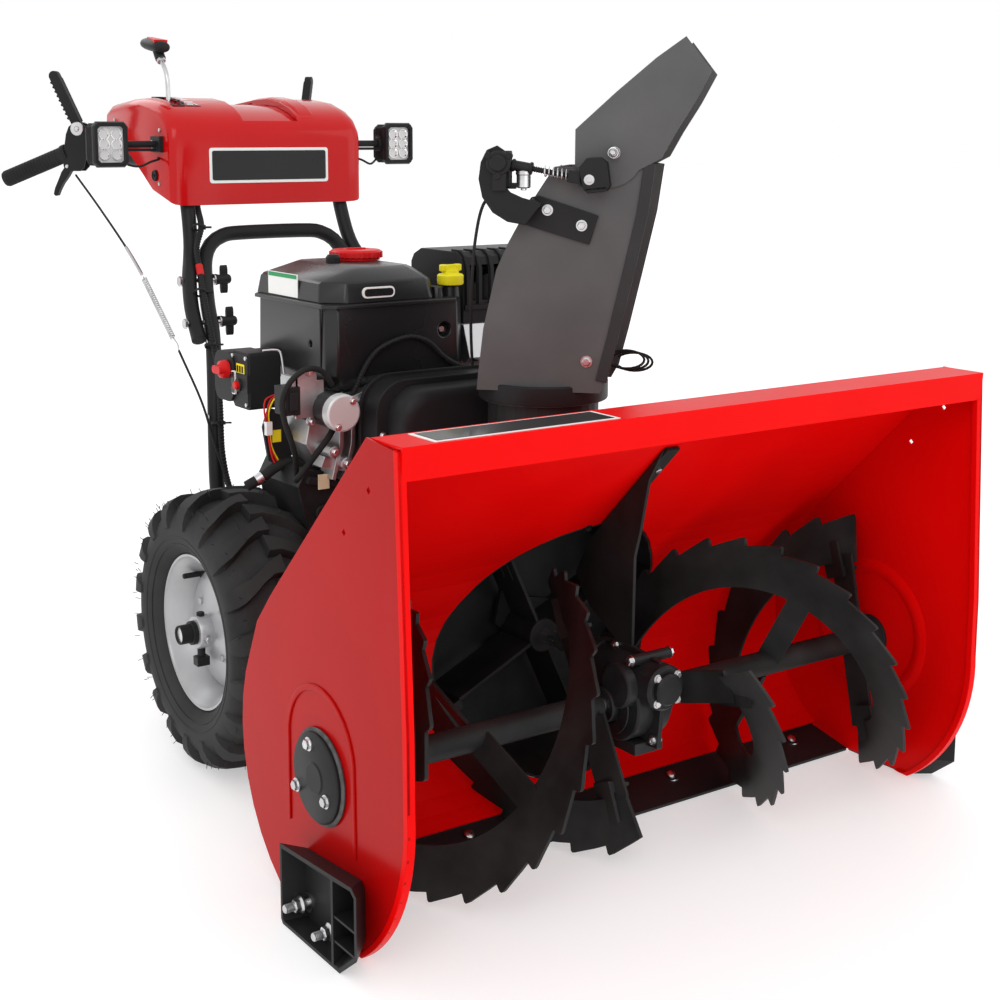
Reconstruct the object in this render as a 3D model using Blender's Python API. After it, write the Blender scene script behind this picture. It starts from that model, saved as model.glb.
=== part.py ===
"""Two-stage snow blower, built as an assembly of separate solids.

Sizes are millimetres in the machine frame until a mesh is written: X runs across the machine,
Y runs rearwards from the front datum, and Z runs up from the floor. Every object is then moved
so that the world origin lies on the floor in the middle of the machine's length.
"""

import math

import bmesh
import bpy
from mathutils import Matrix, Vector

MM = 0.001
GAP = 0.4                      # clearance kept between neighbouring pieces

# Driving dimensions
MIDDLE_Y = 851.7               # half way between the housing's front and the grips' ends
HOUSING_HALF_WIDTH = 470.0
PANEL_THICKNESS = 3.0
SHEET_THICKNESS = 3.0
AUGER_Y = 212.0
AUGER_Z = 195.0
AUGER_TIP_RADIUS = 190.0
AUGER_ROOT_RADIUS = 177.0
RIBBON_INNER_RADIUS = 118.0
RIBBON_THICKNESS = 5.0
FLIGHT_PITCH = 470.0
FLIGHT_START_X = 62.0
FLIGHT_END_X = 440.0
TUBE_RADIUS = 17.5
SHAFT_RADIUS = 12.5
SQUARE_HOLES = ((95.0, 563.0), (151.0, 504.5))    # Y and Z of the punched holes in a side panel
SHELL_RADIUS = 200.0           # inside of the curved back sheet, about the auger axis
WORM_CENTRE_DISTANCE = 34.0
IMPELLER_Z = AUGER_Z + WORM_CENTRE_DISTANCE
IMPELLER_SHAFT_RADIUS = 10.0
DRUM_RADIUS = 188.0
DRUM_BACK_Y = 497.0
NECK_Y = 415.0
NECK_RADIUS = 78.0
NECK_TOP_Z = 575.0
CHUTE_YAW = math.radians(-45.0)
CHUTE_HALF_WIDTH = 75.0
CHUTE_SHEET = 4.0
DEFLECTOR_PIVOT = (96.0, 920.0)        # along the throw direction and up
ACTUATOR_PIVOT = (-45.0, 905.0)
CLEVIS_PIN = (74.0, 884.0)
CRANK_Z = 470.0
PULLEY_Y = 532.0
IMPELLER_PULLEY_RADIUS = 110.0
ENGINE_PULLEY_RADIUS = 46.0
AXLE_Y = 762.0
TYRE_RADIUS = 209.0
TYRE_WIDTH = 165.0
WHEEL_X = 323.5
RIM_RADIUS = 117.0
FRAME_HALF_WIDTH = 202.0
FRAME_FRONT_Y = 506.0
FRAME_BACK_Y = 1055.0
FRAME_TOP_Z = 330.0
FRAME_BOTTOM_Z = 130.0
LEG_RADIUS = 13.0
UPPER_TUBE_RADIUS = 12.7
GRIP_RADIUS = 15.5
FOLD_PIVOT = (1138.0, 622.0)           # Y and Z of the lower wing knobs
GRIP_ROOT = Vector((-245.0, 1575.0, 907.0))
GRIP_DROP = math.radians(21.5)
GRIP_OUTWARD = Vector((-math.sqrt(0.5), math.sqrt(0.5), 0.0))
LEVER_PIVOT = (-15.0, 40.0)            # outward and up from the grip's root
TRIGGER_PIVOT = (8.0, -29.0)
DASH_HALF_WIDTH = 190.0
DASH_WALL = 4.0
LIGHT_CENTRE = Vector((-287.0, 1299.0, 921.0))
SHIFT_PIVOT = Vector((-150.0, 1348.0, 940.0))

MATERIALS = {
    "red_paint": ((0.62, 0.012, 0.012), 0.25, 0.0),
    "black_paint": ((0.02, 0.02, 0.022), 0.35, 0.1),
    "chute_grey": ((0.085, 0.088, 0.09), 0.5, 0.1),
    "steel": ((0.55, 0.55, 0.56), 0.35, 1.0),
    "cast_aluminium": ((0.45, 0.45, 0.46), 0.45, 1.0),
    "cast_iron": ((0.03, 0.03, 0.032), 0.5, 0.4),
    "rim_silver": ((0.42, 0.42, 0.43), 0.4, 0.6),
    "rubber": ((0.022, 0.022, 0.022), 0.85, 0.0),
    "black_plastic": ((0.025, 0.025, 0.026), 0.5, 0.0),
    "shroud_plastic": ((0.03, 0.03, 0.032), 0.3, 0.0),
    "red_plastic": ((0.6, 0.02, 0.02), 0.35, 0.0),
    "yellow_plastic": ((0.75, 0.68, 0.02), 0.4, 0.0),
}


# ---------------------------------------------------------------- shape tools

def closed(bm):
    """Point all faces outwards and give the mesh back."""
    bmesh.ops.recalc_face_normals(bm, faces=bm.faces)
    return bm


def block(x0, x1, y0, y1, z0, z1):
    bm = bmesh.new()
    bmesh.ops.create_cube(bm, size=1.0)
    centre = Vector(((x0 + x1) / 2, (y0 + y1) / 2, (z0 + z1) / 2))
    size = Matrix.Diagonal((x1 - x0, y1 - y0, z1 - z0, 1.0))
    bm.transform(Matrix.Translation(centre) @ size)
    return closed(bm)


def prism(axis, outline, low, high):
    """Extrude a flat outline along an axis. The outline's two numbers are the other two axes."""
    bm = bmesh.new()
    place = {
        "X": lambda a, b, c: (c, a, b),
        "Y": lambda a, b, c: (a, c, b),
        "Z": lambda a, b, c: (a, b, c),
    }[axis]
    bottom = [bm.verts.new(place(a, b, low)) for a, b in outline]
    top = [bm.verts.new(place(a, b, high)) for a, b in outline]
    bm.faces.new(bottom)
    bm.faces.new(list(reversed(top)))
    count = len(outline)
    for i in range(count):
        j = (i + 1) % count
        bm.faces.new((bottom[i], bottom[j], top[j], top[i]))
    return closed(bm)


def turned(profile, centre, axis, steps=24):
    """Revolve (radius, along) points about an axis. The last point joins the first."""
    bm = bmesh.new()
    rings = []
    for radius, along in profile:
        if radius < 1e-6:
            rings.append([bm.verts.new((0.0, 0.0, along))])
            continue
        ring = []
        for i in range(steps):
            angle = 2.0 * math.pi * i / steps
            ring.append(bm.verts.new((radius * math.cos(angle), radius * math.sin(angle), along)))
        rings.append(ring)
    for k, ring in enumerate(rings):
        after = rings[(k + 1) % len(rings)]
        for i in range(steps):
            j = (i + 1) % steps
            corners = [ring[i % len(ring)], ring[j % len(ring)]]
            corners += [after[j % len(after)], after[i % len(after)]]
            unique = list(dict.fromkeys(corners))
            if len(unique) > 2:
                bm.faces.new(unique)
    turn = {
        "X": Matrix.Rotation(math.pi / 2, 4, "Y"),
        "Y": Matrix.Rotation(-math.pi / 2, 4, "X"),
        "Z": Matrix.Identity(4),
    }[axis]
    bm.transform(Matrix.Translation(Vector(centre)) @ turn)
    return closed(bm)


def rod(centre, axis, radius, low, high, steps=20):
    """A solid cylinder. Low and high are world positions along its axis."""
    place = list(centre)
    place["XYZ".index(axis)] = 0.0
    return turned([(0, low), (radius, low), (radius, high), (0, high)], place, axis, steps)


def ring(centre, axis, inner, outer, low, high, steps=24):
    place = list(centre)
    place["XYZ".index(axis)] = 0.0
    return turned([(inner, low), (outer, low), (outer, high), (inner, high)], place, axis, steps)


def smooth_route(points, step):
    """Points at even steps along a smooth curve through the given ones."""
    knots = [Vector(p) for p in points]
    knots = [2 * knots[0] - knots[1]] + knots + [2 * knots[-1] - knots[-2]]
    route = [knots[1]]
    for before, start, end, after in zip(knots, knots[1:], knots[2:], knots[3:]):
        count = max(1, round((end - start).length / step))
        for i in range(1, count + 1):
            t = i / count
            linear = (end - before) * t
            square = (2 * before - 5 * start + 4 * end - after) * t ** 2
            cubic = (3 * start - before - 3 * end + after) * t ** 3
            route.append(start + 0.5 * (linear + square + cubic))
    return route


def pipe(points, radius, sides=10):
    """A solid round bar along a route, with flat ends."""
    route = [Vector(p) for p in points]
    bm = bmesh.new()
    side = None
    rings = []
    for i, point in enumerate(route):
        ahead = route[min(i + 1, len(route) - 1)] - route[max(i - 1, 0)]
        ahead.normalize()
        if side is None:
            side = ahead.orthogonal().normalized()
        side = (side - ahead * side.dot(ahead)).normalized()
        other = ahead.cross(side)
        loop = []
        for k in range(sides):
            angle = 2.0 * math.pi * k / sides
            offset = side * math.cos(angle) + other * math.sin(angle)
            loop.append(bm.verts.new(point + offset * radius))
        rings.append(loop)
    for first, second in zip(rings, rings[1:]):
        for k in range(sides):
            j = (k + 1) % sides
            bm.faces.new((first[k], first[j], second[j], second[k]))
    bm.faces.new(rings[0])
    bm.faces.new(list(reversed(rings[-1])))
    return closed(bm)


def combine(operation, first, *others):
    """Boolean of closed meshes, evaluated at once. The operands are used up."""
    target = scratch_object(first)
    tools = [scratch_object(other) for other in others]
    for tool in tools:
        modifier = target.modifiers.new("combine", "BOOLEAN")
        modifier.operation = operation
        modifier.solver = "EXACT"
        modifier.object = tool
    bpy.context.view_layer.update()
    graph = bpy.context.evaluated_depsgraph_get()
    result = bmesh.new()
    result.from_object(target, graph)
    for item in [target] + tools:
        mesh = item.data
        bpy.data.objects.remove(item)
        bpy.data.meshes.remove(mesh)
    return result


def union(first, *others):
    return combine("UNION", first, *others)


def cut(first, *others):
    return combine("DIFFERENCE", first, *others)


def scratch_object(bm):
    mesh = bpy.data.meshes.new("scratch")
    bm.to_mesh(mesh)
    bm.free()
    item = bpy.data.objects.new("scratch", mesh)
    bpy.context.scene.collection.objects.link(item)
    return item


def moved(bm, matrix):
    bm.transform(matrix)
    return bm


def mirrored(bm):
    """The same shape on the other side of the machine."""
    bm.transform(Matrix.Diagonal((-1.0, 1.0, 1.0, 1.0)))
    bmesh.ops.reverse_faces(bm, faces=bm.faces)
    return bm


def finish(name, bm, material, pivot=(0.0, 0.0, 0.0), smooth=35.0):
    """Write a shape as a named object, in metres, with its origin at its pivot."""
    origin = Vector(pivot)
    bm.transform(Matrix.Translation(-origin))
    bm.transform(Matrix.Diagonal((MM, MM, MM, 1.0)))
    mesh = bpy.data.meshes.new(name)
    bm.to_mesh(mesh)
    bm.free()
    mesh.shade_smooth()
    mesh.set_sharp_from_angle(angle=math.radians(smooth))
    mesh.materials.append(material_named(material))
    item = bpy.data.objects.new(name, mesh)
    item.location = (origin - Vector((0.0, MIDDLE_Y, 0.0))) * MM
    bpy.context.scene.collection.objects.link(item)
    return item


def material_named(name):
    known = bpy.data.materials.get(name)
    if known:
        return known
    colour, roughness, metallic = MATERIALS[name]
    made = bpy.data.materials.new(name)
    made.use_nodes = True
    shader = made.node_tree.nodes["Principled BSDF"]
    shader.inputs["Base Color"].default_value = (*colour, 1.0)
    shader.inputs["Roughness"].default_value = roughness
    shader.inputs["Metallic"].default_value = metallic
    return made


def arc(centre, radius, start, end, count):
    """Points of a circle arc, angles in degrees, both ends included."""
    points = []
    for i in range(count + 1):
        angle = math.radians(start + (end - start) * i / count)
        points.append((centre[0] + radius * math.cos(angle), centre[1] + radius * math.sin(angle)))
    return points


def both_sides(base, maker, material, pivot=None, smooth=35.0):
    """Make a left piece and its mirror image on the right."""
    for side, sign in (("left", 1.0), ("right", -1.0)):
        bm = maker()
        origin = Vector(pivot) if pivot else Vector((0.0, 0.0, 0.0))
        if sign < 0:
            bm = mirrored(bm)
            origin.x = -origin.x
        finish(f"{base}_{side}", bm, material, origin, smooth)


# ---------------------------------------------------------------- auger housing

def panel_outline():
    """Side view (Y, Z) of a side panel."""
    belly = arc((256.0, 201.0), 238.0, 176.0, 236.0, 9)
    heel = arc((AUGER_Y, 193.5), 213.0, -58.0, 30.0, 9)
    return [(33.0, 615.0), (19.0, 300.0)] + belly + [(140.0, 4.0), (312.0, 4.0)] + heel + [
        (376.0, 343.0), (338.0, 385.0), (99.0, 621.0)]


def side_panel():
    outer = -HOUSING_HALF_WIDTH
    plate = prism("X", panel_outline(), outer, outer + PANEL_THICKNESS)
    bearing_hole = rod((0, AUGER_Y, AUGER_Z), "X", 24.0, outer - 5, outer + 8)
    square_holes = [
        prism("X", [(y - 4.5, z), (y, z - 4.5), (y + 4.5, z), (y, z + 4.5)], outer - 5, outer + 8)
        for y, z in SQUARE_HOLES]
    return cut(plate, bearing_hole, *square_holes)


def shell_line(offset):
    """Side view of the curved back sheet's inner face, moved outwards by the offset."""
    curve = arc((AUGER_Y, AUGER_Z), SHELL_RADIUS + offset, -58.0, 38.0, 14)
    slope = math.radians(45.0)
    shift = Vector((math.cos(slope), math.sin(slope))) * offset
    straight = [(348.0 + shift.x, 351.0 + shift.y), (326.0 + shift.x, 377.0 + shift.y)]
    straight.append((91.0 + shift.x, 608.0 + shift.y))
    return curve + straight


def housing_back():
    """Curved back sheet whose top edge is folded forward into the lip."""
    half = HOUSING_HALF_WIDTH - PANEL_THICKNESS - GAP
    inner = shell_line(0.0)
    outer = shell_line(SHEET_THICKNESS)
    lip_top = [(96.0, 621.0), (29.0, 621.0), (32.0, 583.0), (35.0, 583.0), (32.5, 617.8), (90.0, 617.8)]
    sheet = prism("X", outer + lip_top + list(reversed(inner)), -half, half)
    opening = rod((0, 0, IMPELLER_Z), "Y", DRUM_RADIUS + SHEET_THICKNESS + 0.6, 200, 600, 40)
    return cut(sheet, opening)


def scraper_bar():
    """Flat bar bolted under the back sheet's bottom edge."""
    half = HOUSING_HALF_WIDTH - PANEL_THICKNESS - 3.0
    outline = [(246.0, 6.0), (318.5, 20.9), (341.0, 37.0), (343.8, 33.0), (321.0, 16.6), (247.0, 1.6)]
    return prism("X", outline, -half, half)


def skid_shoe():
    """Moulded shoe outside the panel, open on its outer face, with one dividing rib."""
    inner_x = -HOUSING_HALF_WIDTH - GAP
    outer_x = -505.0
    outline = [(73, 33), (113, 0), (254, 0), (258, 6), (258, 103), (84, 117), (73, 109)]
    body = prism("X", outline, outer_x, inner_x)
    floor_x = inner_x - 5.0
    open_x = outer_x - 5.0
    front = prism("X", [(78, 35), (115, 5), (127, 5), (127, 108), (84, 112), (78, 107)], open_x, floor_x)
    rear = prism("X", [(132, 5), (251, 5), (253, 9), (253, 98), (132, 108)], open_x, floor_x)
    return cut(body, front, rear)


def impeller_drum():
    """Round drum behind the back sheet, with the discharge neck on top."""
    outer_radius = DRUM_RADIUS + SHEET_THICKNESS
    body = rod((0, 0, IMPELLER_Z), "Y", outer_radius, 240, DRUM_BACK_Y, 40)
    neck = rod((0, NECK_Y, 0), "Z", NECK_RADIUS, IMPELLER_Z + 121.3, NECK_TOP_Z, 30)
    hollow = rod((0, 0, IMPELLER_Z), "Y", DRUM_RADIUS, 200, DRUM_BACK_Y - SHEET_THICKNESS, 40)
    throat = rod((0, NECK_Y, 0), "Z", NECK_RADIUS - SHEET_THICKNESS, IMPELLER_Z + 60, NECK_TOP_Z + 30, 28)
    shaft_hole = rod((0, 0, IMPELLER_Z), "Y", 13.0, 400, 600)
    inside = [(20.0, 20.0)] + shell_line(0.5) + [(20.0, 620.0)]
    housing_space = prism("X", inside, -300, 300)
    trimmed = cut(body, housing_space)
    return cut(union(trimmed, neck), hollow, throat, shaft_hole)


def gearbox_strap():
    """Upright plate between the lip's slope and the gearbox."""
    outline = [(196, 494), (190, 455), (205, 386), (209, 268), (240, 268)]
    outline += [(300, 300), (333, 342), (306, 385)]
    plate = prism("X", outline, -2.5, 2.5)
    flange = prism("X", [(199, 498), (304, 395), (298, 389), (193, 492)], -22.0, 22.0)
    return union(plate, flange)


def gearbox_case():
    """Hollow casting around the worm and its wheel."""
    wheel_case = rod((0, AUGER_Y, AUGER_Z), "X", 53.0, -30, 30, 24)
    side_hub = rod((0, AUGER_Y, AUGER_Z), "X", 24.0, -50, 50, 18)
    worm_case = block(-27, 27, 138, 288, IMPELLER_Z - 26, 258)
    top_tab = block(-9, 9, 196, 262, 250, 267.6)
    case = union(wheel_case, side_hub, worm_case, top_tab)
    wheel_room = rod((0, AUGER_Y, AUGER_Z), "X", 42.0, -22, 22, 24)
    worm_room = rod((0, 0, IMPELLER_Z), "Y", 19.0, 146, 276, 18)
    cross_hole = rod((0, AUGER_Y, AUGER_Z), "X", SHAFT_RADIUS + GAP, -60, 60, 18)
    shaft_hole = rod((0, 0, IMPELLER_Z), "Y", IMPELLER_SHAFT_RADIUS + GAP, 200, 300, 14)
    return cut(case, wheel_room, worm_room, cross_hole, shaft_hole)


# ---------------------------------------------------------------- auger and impeller

def auger_shaft():
    """Cross shaft with the worm wheel keyed on its middle."""
    bar = SHAFT_RADIUS
    profile = [(0, -475), (bar, -475), (bar, -9), (20.3, -9), (20.3, 9), (bar, 9), (bar, 475), (0, 475)]
    return turned(profile, (0, AUGER_Y, AUGER_Z), "X", 24)


def flight(side, first_angle):
    """One saw-edged ribbon. Angles run upwards from the front, in degrees."""
    bm = bmesh.new()
    turn = (FLIGHT_END_X - FLIGHT_START_X) / FLIGHT_PITCH * 360.0
    paddle = 20.0
    tooth = turn / 40
    stations = [(i * tooth, i % 2) for i in range(41)]
    stations += [(paddle, 1), (paddle + 0.6, 1), (turn - paddle - 0.6, 1), (turn - paddle, 1)]
    stations.sort()
    loops = []
    for t, high in stations:
        angle = math.radians(first_angle - t)
        along = side * (FLIGHT_START_X + FLIGHT_PITCH * t / 360.0)
        near_end = t <= paddle or t >= turn - paddle
        inner = SHAFT_RADIUS + 2.5 if near_end else RIBBON_INNER_RADIUS
        outer = AUGER_TIP_RADIUS if high else AUGER_ROOT_RADIUS
        loop = []
        for radius, shift in ((inner, -1), (outer, -1), (outer, 1), (inner, 1)):
            x = along + shift * RIBBON_THICKNESS / 2
            y = AUGER_Y - radius * math.cos(angle)
            z = AUGER_Z + radius * math.sin(angle)
            loop.append(bm.verts.new((x, y, z)))
        loops.append(loop)
    for first, second in zip(loops, loops[1:]):
        for k in range(4):
            j = (k + 1) % 4
            bm.faces.new((first[k], first[j], second[j], second[k]))
    bm.faces.new(loops[0])
    bm.faces.new(list(reversed(loops[-1])))
    return closed(bm)


def auger_half(side, angle):
    """Auger tube with two ribbons welded on, half a turn apart."""
    low, high = sorted((side * 56.0, side * 446.0))
    tube = rod((0, AUGER_Y, AUGER_Z), "X", TUBE_RADIUS, low, high, 20)
    bore = rod((0, AUGER_Y, AUGER_Z), "X", SHAFT_RADIUS + GAP, low - 20, high + 20, 20)
    welded = union(tube, flight(side, angle), flight(side, angle + 180.0))
    return cut(welded, bore)


def impeller():
    """Hub with four upright blades on a light back plate."""
    arm = 3.5
    tip = DRUM_RADIUS - 8.0
    corner = 24.0
    outline = []
    for quarter in range(4):
        turn = math.radians(90.0 * quarter + 25.0)
        for a, b in ((tip, -arm), (tip, arm), (corner, arm), (corner * 0.72, corner * 0.72)):
            outline.append((a * math.cos(turn) - b * math.sin(turn),
                            IMPELLER_Z + a * math.sin(turn) + b * math.cos(turn)))
    blades = prism("Y", outline, 410.0, 484.0)
    bore = rod((0, 0, IMPELLER_Z), "Y", IMPELLER_SHAFT_RADIUS + GAP, 380, 500, 20)
    return cut(blades, bore)


def pulley_rim(radius):
    """Half profile of a flanged pulley with a V groove, as (radius, along) points."""
    groove = radius - 9.0
    shape = [(radius, -11), (radius, -8), (groove, -5), (groove, 5), (radius, 8), (radius, 11)]
    return [(r, PULLEY_Y + along) for r, along in shape]


def impeller_shaft():
    """Shaft from the worm to the driven pulley."""
    bar = IMPELLER_SHAFT_RADIUS
    worm = 13.0
    profile = [(0, 150), (bar, 150), (bar, AUGER_Y - 20), (worm, AUGER_Y - 20), (worm, AUGER_Y + 20)]
    profile += [(bar, AUGER_Y + 20), (bar, PULLEY_Y - 14), (24, PULLEY_Y - 14), (24, PULLEY_Y - 11)]
    profile += pulley_rim(IMPELLER_PULLEY_RADIUS)
    profile += [(24, PULLEY_Y + 11), (24, PULLEY_Y + 14), (bar, PULLEY_Y + 14), (bar, 560), (0, 560)]
    return turned(profile, (0, 0, IMPELLER_Z), "Y", 24)


def crankshaft():
    bar = 12.7
    profile = [(0, 512), (bar, 512), (bar, PULLEY_Y - 11)] + pulley_rim(ENGINE_PULLEY_RADIUS)
    profile += [(bar, PULLEY_Y + 11), (bar, 700), (0, 700)]
    return turned(profile, (0, 0, CRANK_Z), "Y", 20)


def cover_outline(half, top, corner, bottom):
    left = arc((-half + corner, top - corner), corner, 180.0, 90.0, 6)
    right = arc((half - corner, top - corner), corner, 90.0, 0.0, 6)
    return [(-half, bottom)] + left + right + [(half, bottom)]


def belt_cover():
    """Two-step hood over the belt, open at the back and the bottom."""
    bottom = FRAME_TOP_Z + 4.0
    front = prism("Y", cover_outline(176, 588, 46, bottom), 506, 552)
    rear = prism("Y", cover_outline(194, 597, 48, bottom), 550, 592)
    room = prism("Y", cover_outline(172, 584, 43, bottom - 20), 510, 700)
    wide_room = prism("Y", cover_outline(190, 593, 45, bottom - 20), 554, 700)
    return cut(union(front, rear), room, wide_room)


# ---------------------------------------------------------------- chute

def chute_space():
    """From the chute's own frame, throw direction along +X, to the machine frame."""
    return Matrix.Translation(Vector((0.0, NECK_Y, 0.0))) @ Matrix.Rotation(CHUTE_YAW, 4, "Z")


def chute_point(along, up, side=0.0):
    return chute_space() @ Vector((along, side, up))


CHUTE_BACK = [(-81, 597), (-79, 620), (-72, 681), (-54, 762), (-37, 800), (-14, 842), (24, 900)]


def chute():
    """U-shaped spout: two side walls, a curved back, and a round foot."""
    wall = CHUTE_SHEET
    front = [(157, 902), (148, 837), (129, 751), (110, 668), (96, 612), (88, 597)]
    body = prism("Y", CHUTE_BACK + front, -CHUTE_HALF_WIDTH, CHUTE_HALF_WIDTH)
    inner_back = [(x + wall, z) for x, z in CHUTE_BACK]
    inner_back[0] = (inner_back[0][0], 560)
    inner_back.append((26 + wall, 930))
    inner = CHUTE_HALF_WIDTH - wall
    room = prism("Y", inner_back + [(260, 930), (260, 560)], -inner, inner)
    foot = ring((0, 0, 0), "Z", 71.0, 88.0, 577.0, 601.0, 32)
    gap_room = rod((0, 0, 0), "Z", 71.0, 560, 601.5, 32)
    shell = cut(union(cut(body, room), foot), gap_room)
    return moved(shell, chute_space())


def deflector():
    """Hinged hood that straddles the chute's top."""
    pivot_x, pivot_z = DEFLECTOR_PIVOT
    skirt = arc((pivot_x, pivot_z), 47.0, 200.0, 330.0, 8)
    back = [(195, 1068), (157, 1041), (106, 998), (52, 949)]
    tip = [(166, 912), (184, 945), (208, 984), (229, 1024)]
    outline = back + skirt + tip
    outer = CHUTE_HALF_WIDTH + GAP + 3.0
    inner = CHUTE_HALF_WIDTH + GAP
    body = prism("Y", outline, -outer, outer)
    lowered = [(x + 4.0, z - 4.5) for x, z in back]
    lowered[0] = (200, 1074)
    room = prism("Y", lowered + [(20, 905), (20, 830), (300, 830), (300, 1074)], -inner, inner)
    lug = rod((CLEVIS_PIN[0], 0, CLEVIS_PIN[1]), "Y", 4.5, -outer - 22, -outer + 1, 14)
    return moved(union(cut(body, room), lug), chute_space())


def actuator_axis():
    """Line from the motor's pivot to the clevis pin, beside the chute's near wall."""
    side = -CHUTE_HALF_WIDTH - 16.0
    start = Vector((ACTUATOR_PIVOT[0], side, ACTUATOR_PIVOT[1]))
    end = Vector((CLEVIS_PIN[0], side, CLEVIS_PIN[1]))
    return start, end


def actuator_bracket():
    """Bent plate on the chute's near wall, with a hook that carries the motor."""
    face = -CHUTE_HALF_WIDTH - GAP
    plate = prism("Y", [(-16, 828), (66, 806), (76, 838), (6, 857)], face - 4, face)
    hook = [(-16, 828), (6, 857), (-25, 866), (-44, 874), (-56, 893), (-60, 912), (-78, 908), (-82, 880)]
    hook += [(-74, 852), (-50, 838)]
    arm = prism("Y", hook, face - 30, face - 24)
    web = prism("Y", [(-8, 828), (12, 853), (-8, 859), (-26, 834)], face - 29, face)
    return moved(union(plate, web, arm), chute_space())


def actuator_motor():
    """Gear motor with the sleeve that the rod slides in."""
    start, end = actuator_axis()
    ahead = (end - start).normalized()
    sleeve = pipe([start + ahead * 4, start + ahead * 42], 7.5, 14)
    motor = block(start.x - 13, start.x + 13, start.y - 7.4, start.y + 13, start.z - 34, start.z + 17)
    can = rod((start.x + 30, start.y + 2, 0), "Z", 9.5, start.z - 33, start.z - 10, 16)
    arm = block(start.x, start.x + 32, start.y - 4, start.y + 8, start.z - 31, start.z - 20)
    bore = pipe([start + ahead * 12, start + ahead * 60], 4.4, 14)
    return moved(cut(union(motor, sleeve, can, arm), bore), chute_space())


def actuator_rod():
    """Threaded rod with the fork that takes the deflector's lug."""
    start, end = actuator_axis()
    ahead = (end - start).normalized()
    stem = pipe([start + ahead * 36, end - ahead * 12], 4.0, 12)
    fork = rod((0, 0, 0), "Y", 14.0, end.y - 9.5, end.y + 6.5, 18)
    fork = moved(fork, Matrix.Translation(Vector((end.x, 0.0, end.z))))
    slot = block(end.x - 9.0, end.x + 40, end.y - 20, end.y + 20, end.z - 9.5, end.z + 9.5)
    return moved(cut(union(stem, fork), slot), chute_space())


# ---------------------------------------------------------------- chassis and wheels

def chassis_frame():
    """Welded box frame: pulley bay in front, engine deck on top, open below."""
    half = FRAME_HALF_WIDTH
    inner = half - 4.0
    body = block(-half, half, FRAME_FRONT_Y, FRAME_BACK_Y, FRAME_BOTTOM_Z, FRAME_TOP_Z)
    bay = block(-inner, inner, FRAME_FRONT_Y - 10, 598, FRAME_BOTTOM_Z - 10, FRAME_TOP_Z + 10)
    room = block(-inner, inner, 602, FRAME_BACK_Y - 4, FRAME_BOTTOM_Z - 10, FRAME_TOP_Z - 4)
    axle_hole = rod((0, AXLE_Y, TYRE_RADIUS), "X", 17.0, -half - 10, half + 10)
    return cut(body, bay, room, axle_hole)


def transmission_case():
    """Gear case under the deck, with a socket for each half axle."""
    case = rod((0, AXLE_Y, TYRE_RADIUS), "X", 62.0, -90, 90, 28)
    input_box = block(-70, 70, 690, 840, 200, 322)
    tube = rod((0, AXLE_Y, TYRE_RADIUS), "X", 24.0, -190, 190, 24)
    left = rod((0, AXLE_Y, TYRE_RADIUS), "X", 13.2, -240, -20, 20)
    right = rod((0, AXLE_Y, TYRE_RADIUS), "X", 13.2, 20, 240, 20)
    return cut(union(case, input_box, tube), left, right)


def half_axle():
    return rod((0, AXLE_Y, TYRE_RADIUS), "X", 12.7, -408, -24, 20)


def rim():
    """Dished steel rim with its hub tube."""
    mid = -WHEEL_X
    profile = [
        (13.2, mid - 62), (25, mid - 62), (25, mid - 40), (62, mid - 38), (98, mid - 30), (104, mid - 60),
        (RIM_RADIUS, mid - 60), (RIM_RADIUS, mid - 56), (104, mid - 50), (102, mid + 50),
        (RIM_RADIUS, mid + 56), (RIM_RADIUS, mid + 60), (98, mid + 56), (96, mid - 24),
        (62, mid - 33), (25, mid - 35), (25, mid + 40), (13.2, mid + 40)]
    return turned(profile, (0, AXLE_Y, TYRE_RADIUS), "X", 24)


def tyre():
    """Tyre carcass with its bead flanges outside the rim's."""
    mid = -WHEEL_X
    half = TYRE_WIDTH / 2
    outer = [(118, half - 26), (140, half - 8), (172, half), (196, half - 14), (TYRE_RADIUS, half - 50)]
    inner = [(196, half - 50), (168, half - 14), (140, half - 18), (118, half - 37)]
    profile = [(r, mid - a) for r, a in outer] + [(r, mid + a) for r, a in reversed(outer)]
    profile += [(r, mid + a) for r, a in reversed(inner)] + [(r, mid - a) for r, a in inner]
    return turned(profile, (0, AXLE_Y, TYRE_RADIUS), "X", 30)


# ---------------------------------------------------------------- engine

ENGINE_FRONT_Y = 596.0
SHROUD = (-230.0, 8.0, 618.0, 858.0)
FUEL_CAP = (-95.0, 775.0)
OIL_NECK = (-8.0, 642.0)


def engine_block():
    """Crankcase with its cylinder on the right and the recoil housing at the back."""
    bottom = FRAME_TOP_Z + GAP
    outline = [(-118, bottom), (118, bottom), (130, 380), (130, 500)]
    outline += [(96, 584), (-96, 584), (-130, 500), (-130, 380)]
    case = prism("Y", outline, ENGINE_FRONT_Y, 845)
    cylinder = block(110, 222, 650, 800, 420, 556)
    recoil = rod((0, 0, CRANK_Z), "Y", 104.0, 830, 886, 32)
    bore = rod((0, 0, CRANK_Z), "Y", 13.2, ENGINE_FRONT_Y - 10, 706, 20)
    handle_slot = rod((55, 0, 560), "Y", 10.4, 868, 900, 16)
    return cut(union(case, cylinder, recoil), bore, handle_slot)


def engine_shroud():
    """Moulded housing above the crankcase, with the oil filler neck."""
    x0, x1, y0, y1 = SHROUD
    outline = [(x0 + 14, y0), (x1 - 18, y0), (x1, y0 + 18), (x1, y1)]
    outline += [(x0 + 10, y1), (x0, y1 - 10), (x0, y0 + 14)]
    body = prism("Z", outline, 588, 700)
    neck = rod((*OIL_NECK, 0), "Z", 13.0, 690, 717.6, 20)
    return union(body, neck)


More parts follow.
